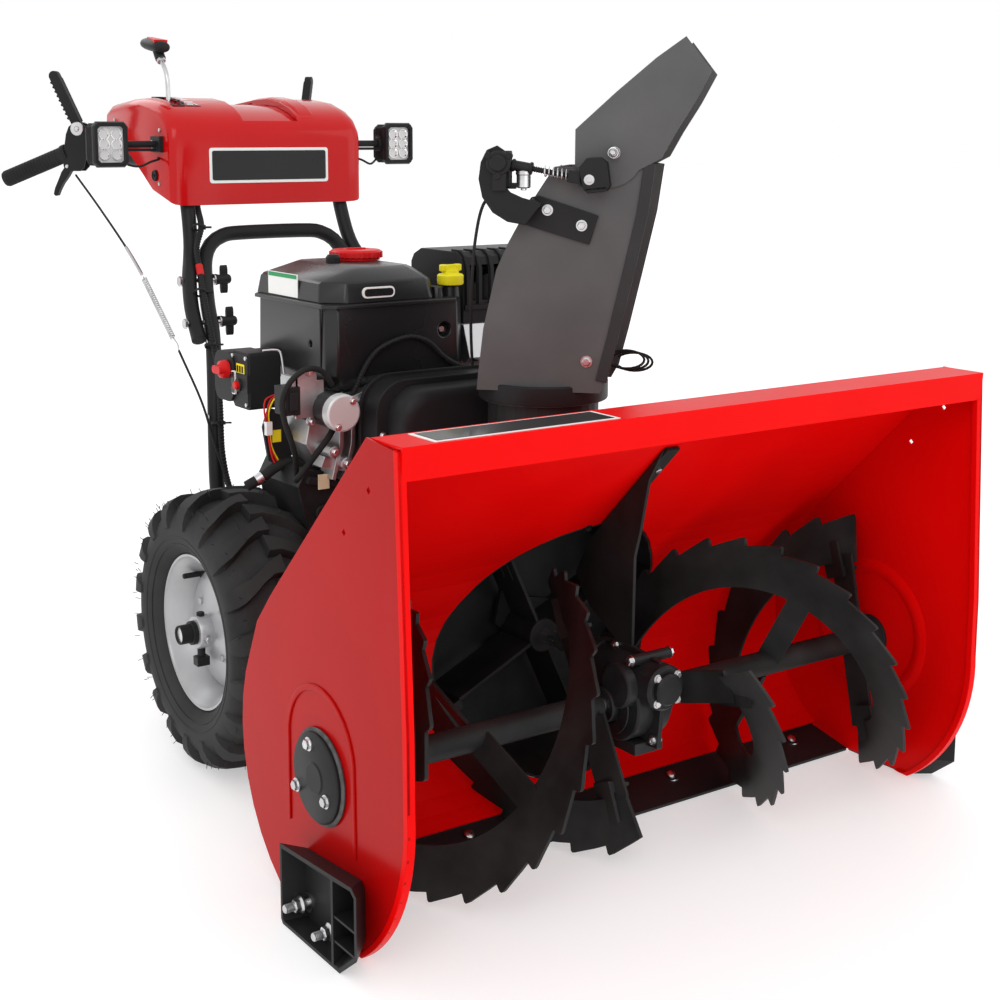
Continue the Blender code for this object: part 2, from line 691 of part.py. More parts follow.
def engine_top_cover():
    """Chamfered lid on the shroud."""
    x0, _, y0, y1 = SHROUD
    x1 = -44.0
    low = 700.0 + GAP
    bm = bmesh.new()
    levels = [(low, 0.0), (low + 32, 3.0), (750.0, 26.0)]
    loops = []
    for height, inset in levels:
        corner = 10.0 + inset * 0.3
        left, right = x0 + inset, x1 - inset
        front, back = y0 + inset, y1 - inset
        loop = [(left + corner, front), (right - corner, front)]
        loop += [(right, front + corner), (right, back - corner)]
        loop += [(right - corner, back), (left + corner, back)]
        loop += [(left, back - corner), (left, front + corner)]
        loops.append([bm.verts.new((x, y, height)) for x, y in loop])
    for first, second in zip(loops, loops[1:]):
        for k in range(8):
            j = (k + 1) % 8
            bm.faces.new((first[k], first[j], second[j], second[k]))
    bm.faces.new(loops[0])
    bm.faces.new(list(reversed(loops[-1])))
    return closed(bm)


def starter_motor():
    profile = [(0, 560), (25, 560), (27, 563), (27, 690), (20, 696), (20, 712), (0, 712)]
    return turned(profile, (-240, 0, 556), "Y", 20)


def muffler_guard():
    """Hood over the muffler, open below."""
    body = prism("X", [(650, 600), (800, 600), (800, 742), (770, 764), (668, 764), (650, 738)], 20, 214)
    room = prism("X", [(654, 590), (796, 590), (796, 740), (768, 760), (670, 760), (654, 736)], 24, 210)
    return cut(body, room)


CONTROL_FACE_X = -292.0
CHOKE = (826.0, 590.0)
START_BUTTON = (790.0, 570.0)


def control_box():
    outline = [(762, 534), (866, 534), (872, 542), (872, 612), (864, 620), (762, 620)]
    body = prism("X", outline, CONTROL_FACE_X, -234)
    pocket = rod((0, *START_BUTTON), "X", 7.0, CONTROL_FACE_X - 5, CONTROL_FACE_X + 12, 16)
    return cut(body, pocket)


def choke_knob():
    face = CONTROL_FACE_X - GAP
    disc = rod((0, *CHOKE), "X", 14.0, face - 7, face, 20)
    y, z = CHOKE
    grip = block(face - 18, face - 5, y - 12, y + 12, z - 3.5, z + 3.5)
    return union(disc, grip)


def start_button():
    return rod((0, *START_BUTTON), "X", 6.5, CONTROL_FACE_X - 6, CONTROL_FACE_X + 7, 16)


def recoil_handle():
    """Pull handle seated at the recoil housing's mouth."""
    bar = block(25, 85, 896, 912, 551, 569)
    stem = rod((55, 0, 560), "Y", 8.0, 876, 900, 14)
    return union(bar, stem)


def fuel_cap():
    x, y = FUEL_CAP
    return turned([(0, 750.4), (38, 750.4), (40, 753), (40, 762), (36, 766), (0, 768)], (x, y, 0), "Z", 28)


def oil_cap():
    x, y = OIL_NECK
    grip = block(x - 17, x + 17, y - 5, y + 5, 738, 748)
    return union(rod((x, y, 0), "Z", 20.0, 718.0, 740.0, 20), grip)


# ---------------------------------------------------------------- handles and controls

LEG_ROUTE = [
    (-216, 1018, 215), (-216, 1030, 300), (-215, 1042, 365), (-209, 1056, 430), (-200, 1074, 500),
    (-188, 1100, 562), (-178, 1125, 606), (-168, 1162, 647), (-153, 1203, 690), (-139, 1232, 722)]
BEND_ROUTE = [(-124, 1242, 746), (-98, 1246, 761), (-60, 1247, 765)]
UPPER_ROUTE = [
    (-208, 1113, 596), (-199, 1160, 645), (-183, 1203, 690), (-167, 1233, 722), (-158, 1250, 755),
    (-153, 1269, 810), (-153, 1287, 862), (-159, 1335, 892), (-170, 1432, 892), (-187, 1492, 897),
    (-221, 1549, 904)]
LOOM_ROUTE = [
    (-133, 1284, 856), (-134, 1268, 808), (-145, 1232, 778), (-160, 1220, 742), (-166, 1194, 700),
    (-182, 1142, 652), (-190, 1103, 604), (-193, 1077, 556), (-202, 1050, 490), (-208, 1034, 420),
    (-205, 1020, 366), (-194, 1012, 336)]
LEFT_CABLE_ROUTE = [
    (-252, 1548, 862), (-246, 1440, 800), (-238, 1320, 722), (-231, 1226, 642), (-226, 1143, 562),
    (-223, 1075, 495), (-222, 1030, 430), (-210, 985, 336)]
RIGHT_CABLE_ROUTE = [
    (250, 1548, 862), (222, 1470, 862), (184, 1380, 856), (172, 1320, 848), (162, 1288, 808),
    (170, 1268, 750), (178, 1256, 716), (192, 1226, 684), (205, 1184, 643), (208, 1140, 598),
    (206, 1108, 500), (203, 1078, 400), (194, 1040, 336)]


def grip_frame(bm):
    """From the grip's plane (outward, across, up) at its root to the machine frame."""
    across = Vector((0.0, 0.0, 1.0)).cross(GRIP_OUTWARD)
    turn = Matrix((GRIP_OUTWARD, across, Vector((0.0, 0.0, 1.0)))).transposed().to_4x4()
    bm.transform(Matrix.Translation(GRIP_ROOT) @ turn)
    return bm


def grip_point(distance):
    ahead = GRIP_OUTWARD * math.cos(GRIP_DROP) - Vector((0.0, 0.0, math.sin(GRIP_DROP)))
    return GRIP_ROOT + ahead * distance


def lower_handle():
    """One tube bent to an upside-down U, its feet outside the frame."""
    left = LEG_ROUTE + BEND_ROUTE
    right = [(-x, y, z) for x, y, z in reversed(left)]
    return pipe(smooth_route(left + right, 44.0), LEG_RADIUS, 10)


def upper_handle():
    """Side tube from the fold joint, through the dash, to the grip, with the lever bracket."""
    route = smooth_route(UPPER_ROUTE + [tuple(GRIP_ROOT)], 40.0)
    route += [grip_point(distance) for distance in (14.0, 60.0, 142.0)]
    tube = pipe(route, UPPER_TUBE_RADIUS, 10)
    outline = [(-30, -14), (-20, -38), (14, -38), (16, -14), (8, 30), (-4, 50), (-26, 50), (-34, 30)]
    bracket = grip_frame(prism("Y", outline, -13.0, -7.0))
    return union(tube, bracket)


def grip():
    """Rubber sleeve with a closed end."""
    sleeve = pipe([grip_point(d) for d in (24.0, 60.0, 110.0, 146.0, 150.0)], GRIP_RADIUS, 16)
    room = pipe([grip_point(d) for d in (10.0, 142.5)], UPPER_TUBE_RADIUS + 0.6, 16)
    return cut(sleeve, room)


def clutch_lever():
    """Flat lever that swings down onto the grip."""
    out, up = LEVER_PIVOT
    angle = math.radians(65.0)
    ahead = Vector((math.cos(angle), math.sin(angle)))
    side = Vector((-ahead.y, ahead.x))
    pivot = Vector((out, up))
    shape = [(-6, 8), (-6, -8), (20, -9), (60, -10), (108, -10), (116, -4), (116, 4), (108, 9), (20, 9)]
    outline = [tuple(pivot + ahead * along + side * across) for along, across in shape]
    return grip_frame(prism("Y", outline, -6.6, 6.6))


def steering_trigger():
    out, up = TRIGGER_PIVOT
    angle = math.radians(-58.0)
    ahead = Vector((math.cos(angle), math.sin(angle)))
    side = Vector((-ahead.y, ahead.x))
    pivot = Vector((out, up))
    shape = [(-6, 6), (-6, -6), (18, -7), (48, -5), (60, -3), (60, 2), (48, 4), (18, 6)]
    outline = [tuple(pivot + ahead * along + side * across) for along, across in shape]
    return grip_frame(prism("Y", outline, -6.6, 3.6))


def plane_point(pair, across=0.0):
    """A point of the grip's plane, in the machine frame."""
    axis = Vector((0.0, 0.0, 1.0)).cross(GRIP_OUTWARD)
    return GRIP_ROOT + GRIP_OUTWARD * pair[0] + axis * across + Vector((0.0, 0.0, pair[1]))


DASH_OUTLINE = [
    (1250, 815), (1330, 835), (1380, 866), (1460, 913), (1555, 968), (1552, 984), (1530, 994),
    (1335, 1003), (1280, 990), (1256, 968)]


def dash_panel():
    """Moulded hood over the handle tubes, open below, with the shift slot on the left."""
    half = DASH_HALF_WIDTH
    body = prism("X", DASH_OUTLINE, -half, half)
    room_outline = [
        (1254, 780), (1340, 800), (1470, 860), (1548, 920), (1548, 982),
        (1528, 990), (1336, 999), (1282, 986), (1260, 966)]
    room = prism("X", room_outline, -half + DASH_WALL, half - DASH_WALL)
    x, y, _ = SHIFT_PIVOT
    slot = block(x - 7, x + 7, y - 44, y + 44, 975, 1020)
    return cut(body, room, slot)


def shift_lever():
    """Bent rod with a moulded knob, turning on a hub inside the dash."""
    x, y, z = SHIFT_PIVOT
    hub = rod((0, y, z), "X", 10.0, x - 12, x + 12, 18)
    bends = [(x, y, z), (x, y - 2, z + 60), (x, y + 2, z + 102), (x, y + 30, z + 136)]
    stem = pipe(smooth_route(bends, 20.0), 4.0, 10)
    neck = pipe([(x, y + 24, z + 128), (x, y + 40, z + 150)], 11.0, 12)
    head = turned([(0, -38), (9, -36), (14, -22), (15, 0), (14, 22), (9, 36), (0, 38)], (0, 0, 0), "Y", 14)
    tilt = Matrix.Rotation(math.radians(8), 4, "X")
    head = moved(head, Matrix.Translation(Vector((x, y + 50, z + 156))) @ tilt)
    return union(stem, hub, neck, head)


def work_light():
    """Square lamp body on the pin of its bracket."""
    cx, cy, cz = LIGHT_CENTRE
    outline = [(cy - 27, cz - 34), (cy - 20, cz - 39), (cy + 24, cz - 39), (cy + 30, cz - 30)]
    outline += [(cy + 30, cz + 30), (cy + 24, cz + 39), (cy - 20, cz + 39), (cy - 27, cz + 34)]
    body = prism("X", outline, cx - 31, cx + 31)
    pin = rod((0, cy, cz), "X", 12.0, cx + 28, -DASH_HALF_WIDTH - GAP, 16)
    return union(body, pin)


def leg_x(height):
    """X of the left leg's middle line at a height."""
    for low, high in zip(LEG_ROUTE, LEG_ROUTE[1:]):
        if low[2] <= height <= high[2]:
            share = (height - low[2]) / (high[2] - low[2])
            return low[0] + share * (high[0] - low[0])
    return LEG_ROUTE[-1][0]


UPPER_KNOB = (1201.0, 688.0)


def wing_knob(place):
    """Hub and wings, outside the leg's inner face."""
    y, z = place
    start = leg_x(z) + LEG_RADIUS + 4.0
    profile = [(0, start), (9, start), (7, start + 8), (6, start + 14), (0, start + 14)]
    hub = turned(profile, (0, y, z), "X", 16)
    outline = [(y - 6, z - 24), (y + 4, z - 25), (y + 7, z - 8), (y + 7, z + 8)]
    outline += [(y + 4, z + 25), (y - 6, z + 24), (y - 4, z + 8), (y - 4, z - 8)]
    wings = prism("X", outline, start + 12, start + 26)
    return union(hub, wings)


def cable(route, radius, sides):
    return pipe(smooth_route(route, 30.0), radius, sides)


# ---------------------------------------------------------------- assembly

def build_housing():
    both_sides("side_panel", side_panel, "red_paint")
    finish("housing_back", housing_back(), "red_paint")
    finish("scraper_bar", scraper_bar(), "black_paint")
    both_sides("skid_shoe", skid_shoe, "black_plastic")
    finish("impeller_drum", impeller_drum(), "black_paint")
    finish("gearbox_strap", gearbox_strap(), "black_paint")
    finish("gearbox_case", gearbox_case(), "cast_iron")


def build_drive():
    auger_axis = (0, AUGER_Y, AUGER_Z)
    finish("auger_shaft", auger_shaft(), "steel", auger_axis)
    finish("auger_left", auger_half(-1.0, 125.0), "black_paint", auger_axis)
    finish("auger_right", auger_half(1.0, 24.0), "black_paint", auger_axis)
    impeller_axis = (0, NECK_Y, IMPELLER_Z)
    finish("impeller", impeller(), "black_paint", impeller_axis)
    finish("impeller_shaft", impeller_shaft(), "steel", impeller_axis)
    finish("crankshaft", crankshaft(), "steel", (0, PULLEY_Y, CRANK_Z))
    finish("belt_cover", belt_cover(), "black_plastic")


def build_chute():
    chute_axis = (0, NECK_Y, NECK_TOP_Z)
    finish("chute", chute(), "chute_grey", chute_axis)
    finish("chute_deflector", deflector(), "chute_grey", chute_point(*DEFLECTOR_PIVOT))
    finish("actuator_bracket", actuator_bracket(), "black_paint", chute_axis)
    finish("actuator_motor", actuator_motor(), "black_plastic", chute_point(*ACTUATOR_PIVOT))
    finish("actuator_rod", actuator_rod(), "steel", chute_point(*CLEVIS_PIN))


def build_chassis():
    axle = (0, AXLE_Y, TYRE_RADIUS)
    finish("chassis_frame", chassis_frame(), "red_paint")
    finish("transmission_case", transmission_case(), "cast_aluminium")
    both_sides("axle", half_axle, "steel", axle)
    both_sides("rim", rim, "rim_silver", axle)
    both_sides("tyre", tyre, "rubber", axle)


def build_engine():
    finish("engine_block", engine_block(), "cast_aluminium")
    finish("engine_shroud", engine_shroud(), "shroud_plastic")
    finish("engine_top_cover", engine_top_cover(), "shroud_plastic")
    finish("starter_motor", starter_motor(), "cast_aluminium")
    finish("muffler_guard", muffler_guard(), "black_paint")
    finish("control_box", control_box(), "black_plastic")
    finish("choke_knob", choke_knob(), "red_plastic", (CONTROL_FACE_X, *CHOKE))
    finish("start_button", start_button(), "red_plastic", (CONTROL_FACE_X, *START_BUTTON))
    finish("recoil_handle", recoil_handle(), "black_plastic", (55, 904, 560))
    finish("fuel_cap", fuel_cap(), "red_plastic", (*FUEL_CAP, 750))
    finish("oil_cap", oil_cap(), "yellow_plastic", (*OIL_NECK, 718))


def build_handles():
    fold = (0, *FOLD_PIVOT)
    finish("lower_handle", lower_handle(), "black_paint")
    both_sides("upper_handle", upper_handle, "black_paint", fold)
    both_sides("grip", grip, "rubber")
    both_sides("clutch_lever", clutch_lever, "black_plastic", plane_point(LEVER_PIVOT))
    both_sides("steering_trigger", steering_trigger, "black_plastic", plane_point(TRIGGER_PIVOT))
    finish("dash_panel", dash_panel(), "red_paint")
    finish("shift_lever", shift_lever(), "steel", SHIFT_PIVOT)
    both_sides("work_light", work_light, "black_paint", LIGHT_CENTRE)
    both_sides("upper_knob", lambda: wing_knob(UPPER_KNOB), "black_plastic", (0, *UPPER_KNOB))
    both_sides("lower_knob", lambda: wing_knob(FOLD_PIVOT), "black_plastic", (0, *FOLD_PIVOT))
    finish("clutch_cable_left", cable(LEFT_CABLE_ROUTE, 1.6, 8), "black_plastic")
    finish("clutch_cable_right", cable(RIGHT_CABLE_ROUTE, 1.6, 8), "black_plastic")
    finish("wiring_loom", cable(LOOM_ROUTE, 5.0, 8), "black_plastic")


def main():
    for item in list(bpy.data.objects):
        bpy.data.objects.remove(item)
    build_housing()
    build_drive()
    build_chute()
    build_chassis()
    build_engine()
    build_handles()


main()
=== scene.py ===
"""Looks of the snow blower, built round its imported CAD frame.

Shapes are made in millimetres in the machine frame (X across, Y rearwards from the front datum,
Z up) and are written in metres with the world origin under the middle of the machine.
"""

import math
import random

import bmesh
import bpy
from mathutils import Matrix, Vector


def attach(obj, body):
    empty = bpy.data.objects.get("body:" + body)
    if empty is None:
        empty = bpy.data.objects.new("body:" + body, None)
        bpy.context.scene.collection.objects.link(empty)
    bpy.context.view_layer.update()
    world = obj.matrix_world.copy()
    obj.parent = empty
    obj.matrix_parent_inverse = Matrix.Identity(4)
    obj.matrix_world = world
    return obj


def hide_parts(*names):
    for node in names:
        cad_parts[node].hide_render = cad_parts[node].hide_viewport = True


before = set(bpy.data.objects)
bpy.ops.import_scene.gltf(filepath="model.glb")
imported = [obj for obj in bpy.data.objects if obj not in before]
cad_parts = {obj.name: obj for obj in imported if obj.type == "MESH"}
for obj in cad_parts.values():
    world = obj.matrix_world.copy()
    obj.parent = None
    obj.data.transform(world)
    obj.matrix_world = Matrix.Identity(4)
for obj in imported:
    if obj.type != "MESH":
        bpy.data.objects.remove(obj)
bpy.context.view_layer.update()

MM = 0.001
MIDDLE_Y = 851.7

# Driving dimensions, the same as the frame's
PANEL_X = 470.0
AUGER_Y, AUGER_Z = 212.0, 195.0
IMPELLER_Z = 229.0
TUBE_RADIUS = 17.5
NECK_Y = 415.0
CHUTE_YAW = math.radians(-45.0)
AXLE_Y, AXLE_Z = 762.0, 209.0
WHEEL_X = 323.5
PULLEY_Y = 532.0
CRANK_Z = 470.0
GRIP_ROOT = Vector((-245.0, 1575.0, 907.0))
GRIP_DROP = math.radians(21.5)
GRIP_OUTWARD = Vector((-math.sqrt(0.5), math.sqrt(0.5), 0.0))
UP = Vector((0.0, 0.0, 1.0))


# ---------------------------------------------------------------- materials

def tree_of(name):
    """A new material with its nodes, links and shader."""
    made = bpy.data.materials.new(name)
    made.use_nodes = True
    nodes = made.node_tree.nodes
    return made, nodes, made.node_tree.links, nodes["Principled BSDF"]


FINISH = {}


def surface(name, colour, roughness, metallic=0.0, grain=900.0, bump=0.05, spread=0.06,
            patch=6.0, coat=0.0, stretch=(1.0, 1.0, 1.0), gloss_spread=0.08, cells=False, depth=0.0002,
            shine=0.16):
    """A procedural finish: fine grain in the relief, slow patches in the colour and the gloss."""
    made, nodes, links, shader = tree_of(name)
    place = nodes.new("ShaderNodeTexCoord")
    mapping = nodes.new("ShaderNodeMapping")
    mapping.inputs["Scale"].default_value = stretch
    links.new(place.outputs["Object"], mapping.inputs["Vector"])
    if cells:
        fine = nodes.new("ShaderNodeTexVoronoi")
        relief = fine.outputs["Distance"]
    else:
        fine = nodes.new("ShaderNodeTexNoise")
        fine.inputs["Detail"].default_value = 3.0
        relief = fine.outputs["Fac"]
    fine.inputs["Scale"].default_value = grain
    links.new(mapping.outputs["Vector"], fine.inputs["Vector"])
    raise_up = nodes.new("ShaderNodeBump")
    raise_up.inputs["Strength"].default_value = bump
    raise_up.inputs["Distance"].default_value = depth
    links.new(relief, raise_up.inputs["Height"])
    links.new(raise_up.outputs["Normal"], shader.inputs["Normal"])
    slow = nodes.new("ShaderNodeTexNoise")
    slow.inputs["Scale"].default_value = patch
    slow.inputs["Detail"].default_value = 5.0
    links.new(place.outputs["Object"], slow.inputs["Vector"])
    ramp = nodes.new("ShaderNodeValToRGB")
    dark = [c * (1.0 - spread) for c in colour]
    light = [min(1.0, c * (1.0 + spread) + 0.02 * spread) for c in colour]
    ramp.color_ramp.elements[0].position = 0.3
    ramp.color_ramp.elements[0].color = (*dark, 1.0)
    ramp.color_ramp.elements[1].position = 0.7
    ramp.color_ramp.elements[1].color = (*light, 1.0)
    links.new(slow.outputs["Fac"], ramp.inputs["Fac"])
    links.new(ramp.outputs["Color"], shader.inputs["Base Color"])
    gloss = nodes.new("ShaderNodeMapRange")
    gloss.inputs["To Min"].default_value = max(0.02, roughness - gloss_spread)
    gloss.inputs["To Max"].default_value = min(1.0, roughness + gloss_spread)
    links.new(slow.outputs["Fac"], gloss.inputs["Value"])
    links.new(gloss.outputs["Result"], shader.inputs["Roughness"])
    shader.inputs["Metallic"].default_value = metallic
    shader.inputs["Specular IOR Level"].default_value = shine
    shader.inputs["Coat Weight"].default_value = coat
    shader.inputs["Coat Roughness"].default_value = 0.06
    FINISH[name] = made


surface("red_paint", (0.74, 0.001, 0.001), 0.34, grain=420, bump=0.03, spread=0.04, shine=0.06)
# Painted shade: a darker copy of the red paint, for the left side panel, its pressed arches and the chassis frame.
surface("dark_red_paint", (0.40, 0.002, 0.002), 0.22, grain=420, bump=0.03, spread=0.05, shine=0.08)
surface("dash_red", (0.50, 0.002, 0.003), 0.16, grain=300, bump=0.02, spread=0.03, coat=0.12, shine=0.22)
surface("black_paint", (0.012, 0.012, 0.013), 0.42, grain=1400, bump=0.18, spread=0.2)
surface("auger_black", (0.014, 0.014, 0.014), 0.5, grain=1100, bump=0.22, spread=0.35, patch=14)
surface("chute_grey", (0.088, 0.088, 0.089), 0.55, grain=1500, bump=0.45, spread=0.12, patch=9)
surface("chute_dark", (0.03, 0.03, 0.031), 0.55, grain=1500, bump=0.45, spread=0.12, patch=9)
surface("steel", (0.60, 0.60, 0.61), 0.3, 1.0, grain=700, bump=0.15, spread=0.15, patch=40)
surface("brushed", (0.55, 0.55, 0.56), 0.34, 1.0, grain=500, bump=0.2, spread=0.1, stretch=(1.0, 1.0, 0.04))
surface("cast_aluminium", (0.46, 0.46, 0.47), 0.42, 0.95, grain=450, bump=0.4, spread=0.25, patch=25)
surface("satin_aluminium", (0.60, 0.60, 0.60), 0.42, 0.35, grain=600, bump=0.12, spread=0.05)
surface("cast_iron", (0.018, 0.018, 0.019), 0.36, 0.2, grain=420, bump=0.45, spread=0.3, patch=20)
surface("rim_silver", (0.44, 0.44, 0.45), 0.38, 0.55, grain=700, bump=0.12, spread=0.12, patch=12)
surface("rubber", (0.014, 0.014, 0.014), 0.72, grain=700, bump=0.35, spread=0.3, patch=12, gloss_spread=0.12)
surface("tyre_rubber", (0.018, 0.018, 0.018), 0.7, grain=500, bump=0.5, spread=0.35, patch=14,
        gloss_spread=0.15, shine=0.3)
surface("black_plastic", (0.014, 0.014, 0.015), 0.45, grain=1600, bump=0.25, spread=0.12, cells=True)
surface("shroud_plastic", (0.012, 0.012, 0.013), 0.28, grain=900, bump=0.05, spread=0.1, shine=0.38)
surface("red_plastic", (0.60, 0.010, 0.012), 0.3, grain=900, bump=0.06, spread=0.08)
surface("yellow_plastic", (0.80, 0.72, 0.015), 0.38, grain=900, bump=0.06, spread=0.05)
surface("white_print", (0.80, 0.80, 0.78), 0.45, grain=500, bump=0.04, spread=0.03)
surface("black_print", (0.012, 0.012, 0.013), 0.3, grain=500, bump=0.03, spread=0.1, coat=0.3)
surface("yellow_print", (0.82, 0.68, 0.02), 0.4, grain=500, bump=0.04, spread=0.04)
surface("green_print", (0.02, 0.28, 0.10), 0.4, grain=500, bump=0.04, spread=0.04)
surface("wire_red", (0.55, 0.02, 0.02), 0.45, grain=700, bump=0.05, spread=0.05)
surface("tag_cream", (0.62, 0.55, 0.36), 0.5, grain=500, bump=0.05, spread=0.08)
surface("felt", (0.10, 0.10, 0.10), 0.95, grain=900, bump=0.9, spread=0.35, patch=90, depth=0.0006)
surface("mirror_cup", (0.88, 0.88, 0.88), 0.12, 1.0, grain=300, bump=0.05, spread=0.05)

# Slot of each finish. Finishes without one belong to small added pieces.
SLOT = {name: name for name in (
    "red_paint", "black_paint", "chute_grey", "steel", "cast_aluminium", "cast_iron", "rim_silver", "rubber",
    "tyre_rubber", "black_plastic", "shroud_plastic", "red_plastic", "yellow_plastic")}
SLOT |= {"dark_red_paint": "red_paint", "dash_red": "red_paint", "auger_black": "black_paint",
         "chute_dark": "chute_grey", "brushed": "steel", "satin_aluminium": "cast_aluminium"}


# ---------------------------------------------------------------- shape tools

def closed(bm):
    """The mesh with its normals outward."""
    bmesh.ops.recalc_face_normals(bm, faces=bm.faces)
    return bm


def block(x0, x1, y0, y1, z0, z1):
    """A box from its limits."""
    bm = bmesh.new()
    bmesh.ops.create_cube(bm, size=1.0)
    centre = Vector(((x0 + x1) / 2, (y0 + y1) / 2, (z0 + z1) / 2))
    size = Matrix.Diagonal((abs(x1 - x0), abs(y1 - y0), abs(z1 - z0), 1.0))
    bm.transform(Matrix.Translation(centre) @ size)
    return closed(bm)


def skinned(loops, ends=True):
    """A closed body through loops of the same number of points. Without ends, the loops form a ring."""
    bm = bmesh.new()
    rings = [[bm.verts.new(point) for point in loop] for loop in loops]
    if not ends:
        rings.append(rings[0])
    for first, second in zip(rings, rings[1:]):
        for k in range(len(first)):
            j = (k + 1) % len(first)
            bm.faces.new((first[k], first[j], second[j], second[k]))
    if ends:
        bm.faces.new(rings[0])
        bm.faces.new(list(reversed(rings[-1])))
    return closed(bm)


def prism(axis, outline, low, high):
    """Extrude an outline along an axis. The outline's two numbers are the other two axes."""
    place = {"X": lambda a, b, c: (c, a, b), "Y": lambda a, b, c: (a, c, b), "Z": lambda a, b,
             c: (a, b, c)}[axis]
    return skinned([[place(a, b, level) for a, b in outline] for level in (low, high)])


def lofted(levels):
    """A closed body through outlines of the same number of points, each at its own height."""
    return skinned([[(x, y, height) for x, y in outline] for height, outline in levels])


def chamfered(x0, x1, y0, y1, left_front, other):
    """Box outline with its own chamfer at the front left."""
    a, b = left_front, other
    return [(x0 + a, y0), (x1 - b, y0), (x1, y0 + b), (x1, y1 - b), (x1 - b, y1), (x0 + b, y1),
            (x0, y1 - b), (x0, y0 + a)]


def turned(profile, centre=(0, 0, 0), axis="Z", steps=48):
    """Revolve (radius, along) points about an axis through the centre."""
    bm = bmesh.new()
    rings = []
    for radius, along in profile:
        if radius < 1e-6:
            rings.append([bm.verts.new((0.0, 0.0, along))])
            continue
        angles = [2.0 * math.pi * i / steps for i in range(steps)]
        rings.append([bm.verts.new((radius * math.cos(a), radius * math.sin(a), along)) for a in angles])
    for k, loop in enumerate(rings):
        after = rings[(k + 1) % len(rings)]
        for i in range(steps):
            j = (i + 1) % steps
            corners = [loop[i % len(loop)], loop[j % len(loop)], after[j % len(after)], after[i % len(after)]]
            unique = list(dict.fromkeys(corners))
            if len(unique) > 2:
                bm.faces.new(unique)
    turn = {"X": Matrix.Rotation(math.pi / 2, 4, "Y"), "Y": Matrix.Rotation(-math.pi / 2, 4, "X"),
            "Z": Matrix.Identity(4)}[axis]
    bm.transform(Matrix.Translation(Vector(centre)) @ turn)
    return closed(bm)


def rod(centre, axis, radius, low, high, steps=32, edge=0.0):
    """A cylinder with softened rims. Low and high are positions along its axis."""
    place = list(centre)
    place["XYZ".index(axis)] = 0.0
    e = min(edge, radius * 0.45, abs(high - low) * 0.4)
    if e > 0:
        profile = [(0, low), (radius - e, low), (radius, low + e), (radius, high - e), (radius - e, high),
                   (0, high)]
    else:
        profile = [(0, low), (radius, low), (radius, high), (0, high)]
    return turned(profile, place, axis, steps)


def smooth_route(points, step):
    """Points at even steps along a smooth curve through the given ones."""
    knots = [Vector(point) for point in points]
    knots = [2 * knots[0] - knots[1]] + knots + [2 * knots[-1] - knots[-2]]
    route = [knots[1]]
    for before, start, end, after in zip(knots, knots[1:], knots[2:], knots[3:]):
        count = max(1, round((end - start).length / step))
        for i in range(1, count + 1):
            t = i / count
            linear = (end - before) * t
            square = (2 * before - 5 * start + 4 * end - after) * t ** 2
            cubic = (3 * start - before - 3 * end + after) * t ** 3
            route.append(start + 0.5 * (linear + square + cubic))
    return route


def pipe(points, radius, sides=16, ridge=0.0):
    """A round bar along a route. A ridge above nought makes every other ring thicker."""
    route = [Vector(point) for point in points]
    side = None
    rings = []
    for i, point in enumerate(route):
        ahead = (route[min(i + 1, len(route) - 1)] - route[max(i - 1, 0)]).normalized()
        if side is None:
            side = ahead.orthogonal().normalized()
        side = (side - ahead * side.dot(ahead)).normalized()
        other = ahead.cross(side)
        size = radius + (ridge if i % 2 else 0.0)
        angles = [2.0 * math.pi * k / sides for k in range(sides)]
        rings.append([point + (side * math.cos(a) + other * math.sin(a)) * size for a in angles])
    return skinned(rings)


def coil(start, end, radius, wire, turns):
    """A coil spring between two points."""
    start, end = Vector(start), Vector(end)
    ahead = (end - start).normalized()
    side = ahead.orthogonal().normalized()
    other = ahead.cross(side)
    points = []
    for i in range(turns * 10 + 1):
        angle = 2.0 * math.pi * i / 10
        along = start.lerp(end, i / (turns * 10))
        points.append(along + (side * math.cos(angle) + other * math.sin(angle)) * radius)
    return pipe(points, wire, 6)


def toward(direction, place):
    """Matrix that takes +Z to a direction at a place."""
    turn = Vector(direction).to_track_quat("Z", "Y").to_matrix().to_4x4()
    return Matrix.Translation(Vector(place)) @ turn


def joined(*parts):
    """Several closed shapes in one mesh."""
    whole = bmesh.new()
    for part in parts:
        mesh = bpy.data.meshes.new("part")
        part.to_mesh(mesh)
        part.free()
        whole.from_mesh(mesh)
        bpy.data.meshes.remove(mesh)
    return whole


def moved(bm, matrix):
    """The same body after a transform."""
    bm.transform(matrix)
    return bm


def mirrored(bm):
    """A mirror image across the middle plane."""
    bm.transform(Matrix.Diagonal((-1.0, 1.0, 1.0, 1.0)))
    bmesh.ops.reverse_faces(bm, faces=bm.faces)
    return bm


def arc(centre, radius, start, end, count):
    """Points of a circle arc, angles in degrees."""
    angles = [math.radians(start + (end - start) * i / count) for i in range(count + 1)]
    return [(centre[0] + radius * math.cos(a), centre[1] + radius * math.sin(a)) for a in angles]


def cut(first, *others):
    """The first closed shape without the others."""
    items = []
    for bm in (first, *others):
        mesh = bpy.data.meshes.new("scratch")
        bm.to_mesh(mesh)
        bm.free()
        items.append(bpy.data.objects.new("scratch", mesh))
        bpy.context.scene.collection.objects.link(items[-1])
    for tool in items[1:]:
        modifier = items[0].modifiers.new("combine", "BOOLEAN")
        modifier.operation = "DIFFERENCE"
        modifier.solver = "EXACT"
        modifier.object = tool
    bpy.context.view_layer.update()
    result = bmesh.new()
    result.from_object(items[0], bpy.context.evaluated_depsgraph_get())
    for item in items:
        mesh = item.data
        bpy.data.objects.remove(item)
        bpy.data.meshes.remove(mesh)
    return result


